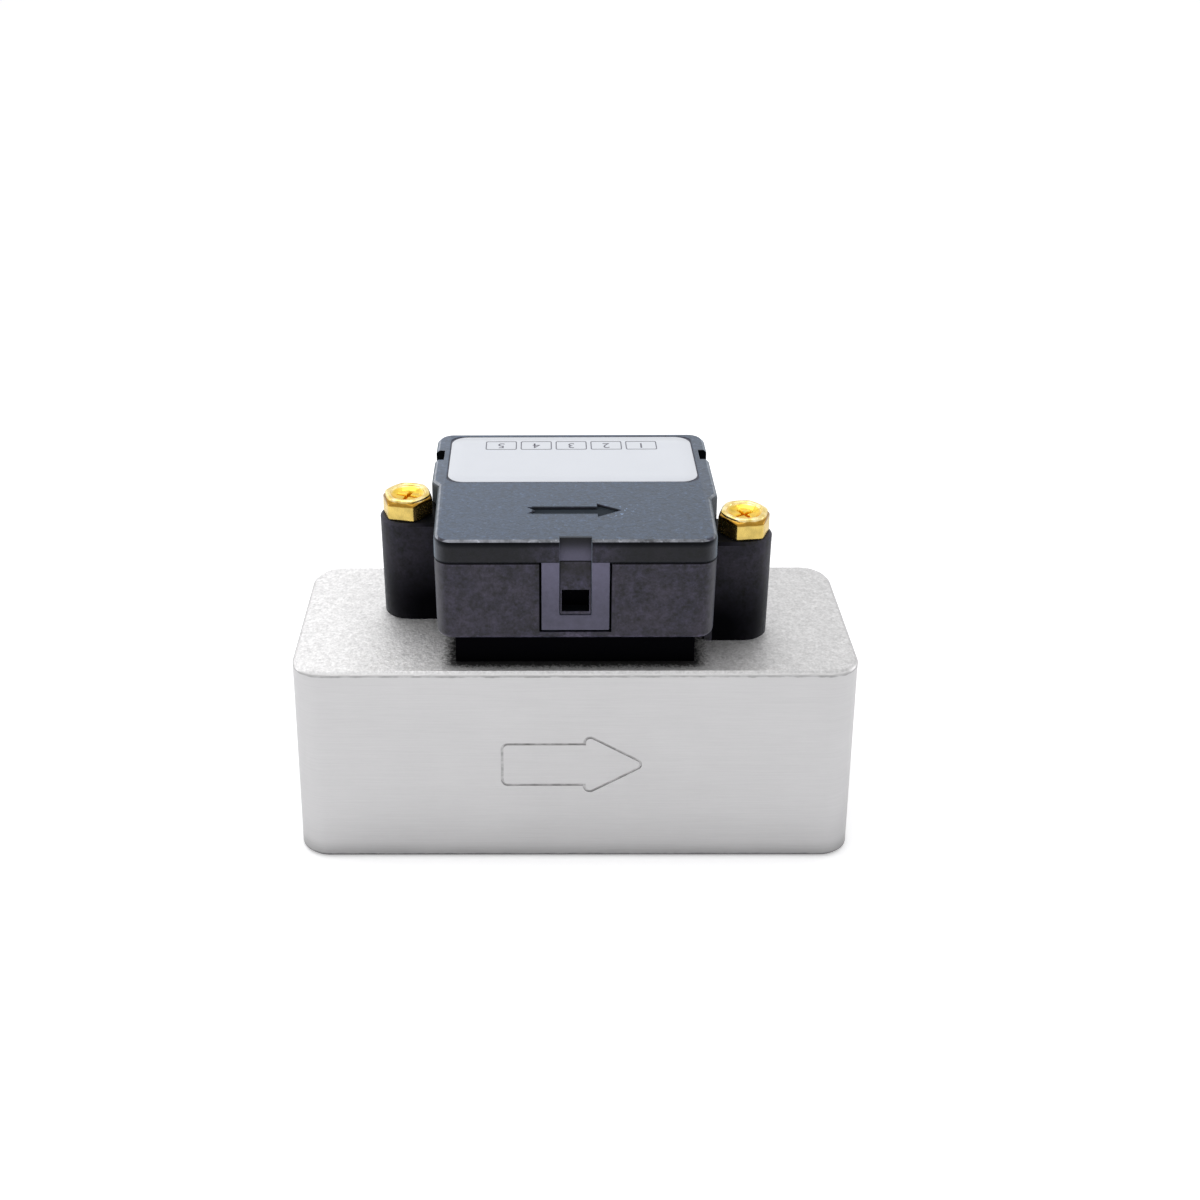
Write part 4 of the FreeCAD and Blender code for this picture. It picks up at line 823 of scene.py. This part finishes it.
# The brass screws
def screw_mesh(name, axis, foot, seat, top, turn):
    """One closed surface round the screw's axis, as rings from the shank's foot to the dish.
    A side ring is the smaller of a hexagon with soft corners and a cone that bevels its top. The
    rim is a half round that follows the hexagon in part, the dish falls from it to a flat floor,
    and in the floor the height drops by the depth of a cross of two tapered slots."""
    columns = 144
    angle = np.linspace(0, TAU, columns, endpoint=False)[None, :]
    flats, corner, shank = 5.5, 3.12, 1.46
    rim, rim_width, rim_height, rim_wall, rim_spread = 2.62, 0.67, 0.20, 0.14, 0.5
    floor_reach, dish_depth = 1.4, 0.55
    bevel_height, bevel_slope = 0.40, 1.6
    cross_half, cross_reach, cross_depth = 0.275, 1.35, 0.85
    cross_turn, cross_taper, cross_wall = 0.4, 0.15, 0.10
    chamfer, beyond = 0.3, 9.0
    corner_power, edge_power = 24, 30

    neck = top - rim_height - rim_wall
    side = np.linspace(seat + 0.12, neck - bevel_height, 12)
    cone = np.linspace(neck - bevel_height, neck, 12)[1:]
    height = [foot, foot, foot + chamfer, seat, seat, *side, *cone]
    reach = [0.3, shank - chamfer, shank, shank, flats / 2 - 0.35, *(beyond + 0 * side),
             *(rim + (neck - cone) * bevel_slope)]
    spread = [0.0] * len(height)
    round_over = np.linspace(0, math.pi, 12)
    inward = np.linspace(0, 1, 14)[1:]
    flat = np.linspace(floor_reach, 0.04, 22)[1:]
    inner = rim - rim_width
    height += [*(top - rim_height * (1 - np.sin(round_over))),
               *(top - rim_height - (dish_depth - rim_height) * inward ** 0.9),
               *(top - dish_depth + 0 * flat)]
    reach += [*(rim - rim_width / 2 * (1 - np.cos(round_over))),
              *(inner + (floor_reach - inner) * inward), *flat]
    spread += [*(rim_spread + 0 * round_over), *(rim_spread * (1 - inward)), *(0 * flat)]
    height, reach, spread = (np.array(values)[:, None] for values in (height, reach, spread))

    local = (angle - turn) % (math.pi / 3) - math.pi / 6
    hexagon = ((flats / 2 / np.cos(local)) ** -corner_power
               + corner ** -corner_power) ** (-1 / corner_power)
    limit = np.where(height > seat + 1e-6, hexagon, flats / 2)
    inside_hexagon = (reach ** -edge_power + limit ** -edge_power) ** (-1 / edge_power)
    radius = np.where((reach < limit * 0.8) | (spread > 0),
                      reach * (1 + spread * (hexagon / (flats / 2) - 1)), inside_hexagon)
    swung = angle - turn - cross_turn
    across, along = radius * np.cos(swung), radius * np.sin(swung)

    def slot(long, short):
        half = cross_half * (1 - abs(long) / cross_reach * cross_taper)
        end = np.clip((cross_reach - abs(long)) / (2 * cross_wall), 0, 1)
        edge = np.clip((half - abs(short)) / cross_wall, 0, 1)
        return np.minimum(end, edge)

    on_floor = (reach <= floor_reach) & (height > seat + 0.5)
    cross = np.maximum(slot(across, along), slot(along, across))
    level = height - np.where(on_floor, cross_depth * cross, 0)
    points = np.stack([axis[0] + radius * np.cos(angle), axis[1] + radius * np.sin(angle),
                       level + 0 * angle], axis=-1)
    return grid_mesh(name, points, closed=True)


# How far each head is turned, in degrees, as in the solids
SCREW_TURNS = {"left_screw": 47, "right_screw": 8}


class FLOWSENSOR_OT_screws(Operator):
    """Make the two brass housing screws"""
    bl_idname = "flowsensor.screws"
    bl_label = "Screws"

    def execute(self, context):
        colour = tuple(context.scene.flow_sensor.colours.brass)
        for node, turn in SCREW_TURNS.items():
            low, high = cad_box(node)
            axis = (low[:2] + high[:2]) / 2
            mesh = screw_mesh(f"{node}_turned", axis, low[2], EAR_TOP, high[2],
                              math.radians(turn))
            finish = brass_finish(f"{node}_brass", colour, axis.tolist(), high[2])
            piece = add_piece(f"{node}_turned", mesh, finish, "brass_screw", node)
            normals = piece.modifiers.new("flat_shading", "WEIGHTED_NORMAL")
            normals.weight = 50
        return {"FINISHED"}


class FLOWSENSOR_OT_connector(Operator):
    """Make the rear header and its pins"""
    bl_idname = "flowsensor.connector"
    bl_label = "Connector"

    def execute(self, context):
        edge = context.scene.flow_sensor.sizes.small_edge
        for name, node, finish, slot in (
                ("header_shroud", "connector_housing", connector_finish(), "connector_plastic"),
                ("header_pins", "connector_pins", pin_finish(), "pin_metal")):
            piece = add_piece(name, shell_mesh(name, merged_copy(node)), finish, slot, node)
            round_edges(piece, edge)
        return {"FINISHED"}


class FLOWSENSOR_OT_inner_parts(Operator):
    """Give the gas path, the seals and the electronics their finishes"""
    bl_idname = "flowsensor.inner_parts"
    bl_label = "Inner Parts"

    def execute(self, context):
        dress(steel_finish(), "laminar_element", "inlet_screen", "outlet_screen",
              "inlet_screen_ring", "outlet_screen_ring", "board_screws")
        dress(rubber_finish(), "inlet_tap_seal", "outlet_tap_seal", "channel_gasket")
        dress(board_finish(), "circuit_board")
        dress(silicon_finish(), "sensor_chip")
        dress(package_finish("chip_epoxy", (0.02, 0.02, 0.022), 0.55),
              "signal_processor", "voltage_regulator", "resistors")
        dress(package_finish("fired_ceramic", (0.33, 0.20, 0.10), 0.45), "capacitors")
        return {"FINISHED"}


# Stage: the camera that was fitted to the flow block's outline, with its focal length, optical
# centre and frame in pixels and its angles in degrees, then the soft light and the floor
CAMERA = {"place": (-3.85, -164.81, 120.63), "yaw": 0.43, "pitch": 19.05, "roll": -0.32}
CAMERA_FOCAL = 1550.9
CAMERA_CENTRE = (529.2, 312.7)
FRAME_SIDE = 1200
SENSOR_WIDTH = 36.0
FLOOR_REACH = 3000.0
FLOOR_LIFT = 0.36
RIGHT_SHARE = 0.75


def camera_turn(yaw, pitch, roll):
    """The camera's turn from its heading, its tilt down and its roll, in degrees."""
    yaw, pitch, roll = (math.radians(a) for a in (yaw, pitch, roll))
    ahead = Vector((-math.sin(yaw) * math.cos(pitch), math.cos(yaw) * math.cos(pitch),
                    -math.sin(pitch)))
    right = Vector((math.cos(yaw), math.sin(yaw), 0))
    up = right.cross(ahead)
    right, up = (right * math.cos(roll) + up * math.sin(roll),
                 up * math.cos(roll) - right * math.sin(roll))
    return Matrix((right, up, -ahead)).transposed()


def add_camera():
    """The camera, with a shift that puts the optical centre where the fit found it."""
    camera = bpy.data.cameras.new("photo_camera")
    camera.sensor_width = SENSOR_WIDTH
    camera.lens = CAMERA_FOCAL / FRAME_SIDE * SENSOR_WIDTH
    camera.shift_x = 0.5 - CAMERA_CENTRE[0] / FRAME_SIDE
    camera.shift_y = CAMERA_CENTRE[1] / FRAME_SIDE - 0.5
    camera.clip_start = 1 * MM
    holder = bpy.data.objects.new("photo_camera", camera)
    turn = camera_turn(CAMERA["yaw"], CAMERA["pitch"], CAMERA["roll"]).to_4x4()
    holder.matrix_world = Matrix.Translation(Vector(CAMERA["place"]) * MM) @ turn
    bpy.context.scene.collection.objects.link(holder)
    bpy.context.scene.camera = holder


def add_softbox(name, place, side, power):
    """A square area lamp that faces the sensor's middle; lengths in millimetres."""
    lamp = bpy.data.lights.new(name, "AREA")
    lamp.shape = "SQUARE"
    lamp.size = side * MM
    lamp.energy = power
    holder = bpy.data.objects.new(name, lamp)
    aim = Vector((0, 0, PORT_AXIS)) - Vector(place)
    turn = aim.to_track_quat("-Z", "Y").to_matrix().to_4x4()
    holder.matrix_world = Matrix.Translation(Vector(place) * MM) @ turn
    bpy.context.scene.collection.objects.link(holder)


def light_paths(tree):
    """One for rays from the camera or a mirror-like or clear surface, zero for the rest."""
    nodes, links = tree.nodes, tree.links
    path = nodes.new("ShaderNodeLightPath")
    total = path.outputs["Is Camera Ray"]
    for name in ("Is Glossy Ray", "Is Transmission Ray"):
        highest = nodes.new("ShaderNodeMath")
        highest.operation = "MAXIMUM"
        links.new(total, highest.inputs[0])
        links.new(path.outputs[name], highest.inputs[1])
        total = highest.outputs[0]
    return total


def add_world(ambient):
    """White where it is seen or mirrored, and a soft grey for the light that it gives."""
    world = bpy.data.worlds.new("white_room")
    world.use_nodes = True
    tree = world.node_tree
    mix = tree.nodes.new("ShaderNodeMix")
    mix.data_type = "RGBA"
    tree.links.new(light_paths(tree), mix.inputs[0])
    mix.inputs[6].default_value = (ambient, ambient, ambient * 1.02, 1)
    mix.inputs[7].default_value = (1, 1, 1, 1)
    tree.links.new(mix.outputs[2], tree.nodes["Background"].inputs["Color"])
    bpy.context.scene.world = world


def floor_material(colour):
    """A matt pale floor that reads as white paper but keeps the shadow."""
    material = bpy.data.materials.new("pale_floor")
    material.use_nodes = True
    tree = material.node_tree
    shader = tree.nodes["Principled BSDF"]
    shader.inputs["Roughness"].default_value = 0.9
    shader.inputs["Specular IOR Level"].default_value = 0.0
    shader.inputs["Base Color"].default_value = (*colour, 1)
    shader.inputs["Emission Color"].default_value = (1, 1, 1, 1)
    lift = tree.nodes.new("ShaderNodeMath")
    lift.operation = "MULTIPLY"
    lift.inputs[1].default_value = FLOOR_LIFT
    path = tree.nodes.new("ShaderNodeLightPath")
    tree.links.new(path.outputs["Is Camera Ray"], lift.inputs[0])
    tree.links.new(lift.outputs[0], shader.inputs["Emission Strength"])
    return material


class FLOWSENSOR_OT_stage(Operator):
    """Make the pale floor, the soft light and the camera"""
    bl_idname = "flowsensor.stage"
    bl_label = "Stage"

    def execute(self, context):
        settings = context.scene.flow_sensor
        corners = np.array([[-1, -1, 0], [1, -1, 0], [1, 1, 0], [-1, 1, 0]]) * FLOOR_REACH * MM
        mesh = bpy.data.meshes.new("floor")
        mesh.from_pydata(corners.tolist(), [], [(0, 1, 2, 3)])
        mesh.materials.append(floor_material(settings.colours.floor))
        floor = bpy.data.objects.new("floor", mesh)
        context.scene.collection.objects.link(floor)
        add_world(settings.studio.ambient)
        studio = settings.studio
        add_softbox("overhead_softbox", (-80, 60, 520), 420, studio.overhead)
        add_softbox("rear_left_softbox", (-330, 420, 250), 300, studio.rear_left)
        add_softbox("left_softbox", (-420, 60, 90), 180, studio.side)
        add_softbox("right_softbox", (420, 60, 90), 180, studio.side * RIGHT_SHARE)
        add_camera()
        context.scene.view_settings.view_transform = "Standard"
        return {"FINISHED"}


OPERATORS = (
    FLOWSENSOR_OT_flow_block, FLOWSENSOR_OT_housing, FLOWSENSOR_OT_label,
    FLOWSENSOR_OT_screws, FLOWSENSOR_OT_connector, FLOWSENSOR_OT_inner_parts,
    FLOWSENSOR_OT_stage,
)


class FLOWSENSOR_PT_panel(Panel):
    """Lists the flow sensor's pieces and settings"""
    bl_label = "Flow Sensor"
    bl_idname = "FLOWSENSOR_PT_panel"
    bl_space_type = "VIEW_3D"
    bl_region_type = "UI"
    bl_category = "Flow Sensor"

    def draw(self, context):
        settings = context.scene.flow_sensor
        for group in (settings.sizes, settings.colours, settings.studio):
            box = self.layout.box()
            for name in group.bl_rna.properties.keys():
                if name not in {"rna_type", "name"}:
                    box.prop(group, name)
        for operator in OPERATORS:
            self.layout.operator(operator.bl_idname)


CLASSES = (SurfaceSizes, SurfaceColours, StudioLevels, SensorSettings, *OPERATORS,
           FLOWSENSOR_PT_panel)


def register():
    """Makes the settings, operators and panel known to Blender."""
    for cls in CLASSES:
        bpy.utils.register_class(cls)
    bpy.types.Scene.flow_sensor = PointerProperty(type=SensorSettings)


def unregister():
    """Takes them out again."""
    del bpy.types.Scene.flow_sensor
    for cls in reversed(CLASSES):
        bpy.utils.unregister_class(cls)


def main():
    """Builds every piece and the stage."""
    register()
    bpy.ops.flowsensor.flow_block()
    bpy.ops.flowsensor.housing()
    bpy.ops.flowsensor.label()
    bpy.ops.flowsensor.screws()
    bpy.ops.flowsensor.connector()
    bpy.ops.flowsensor.inner_parts()
    bpy.ops.flowsensor.stage()


if __name__ == "__main__":
    main()
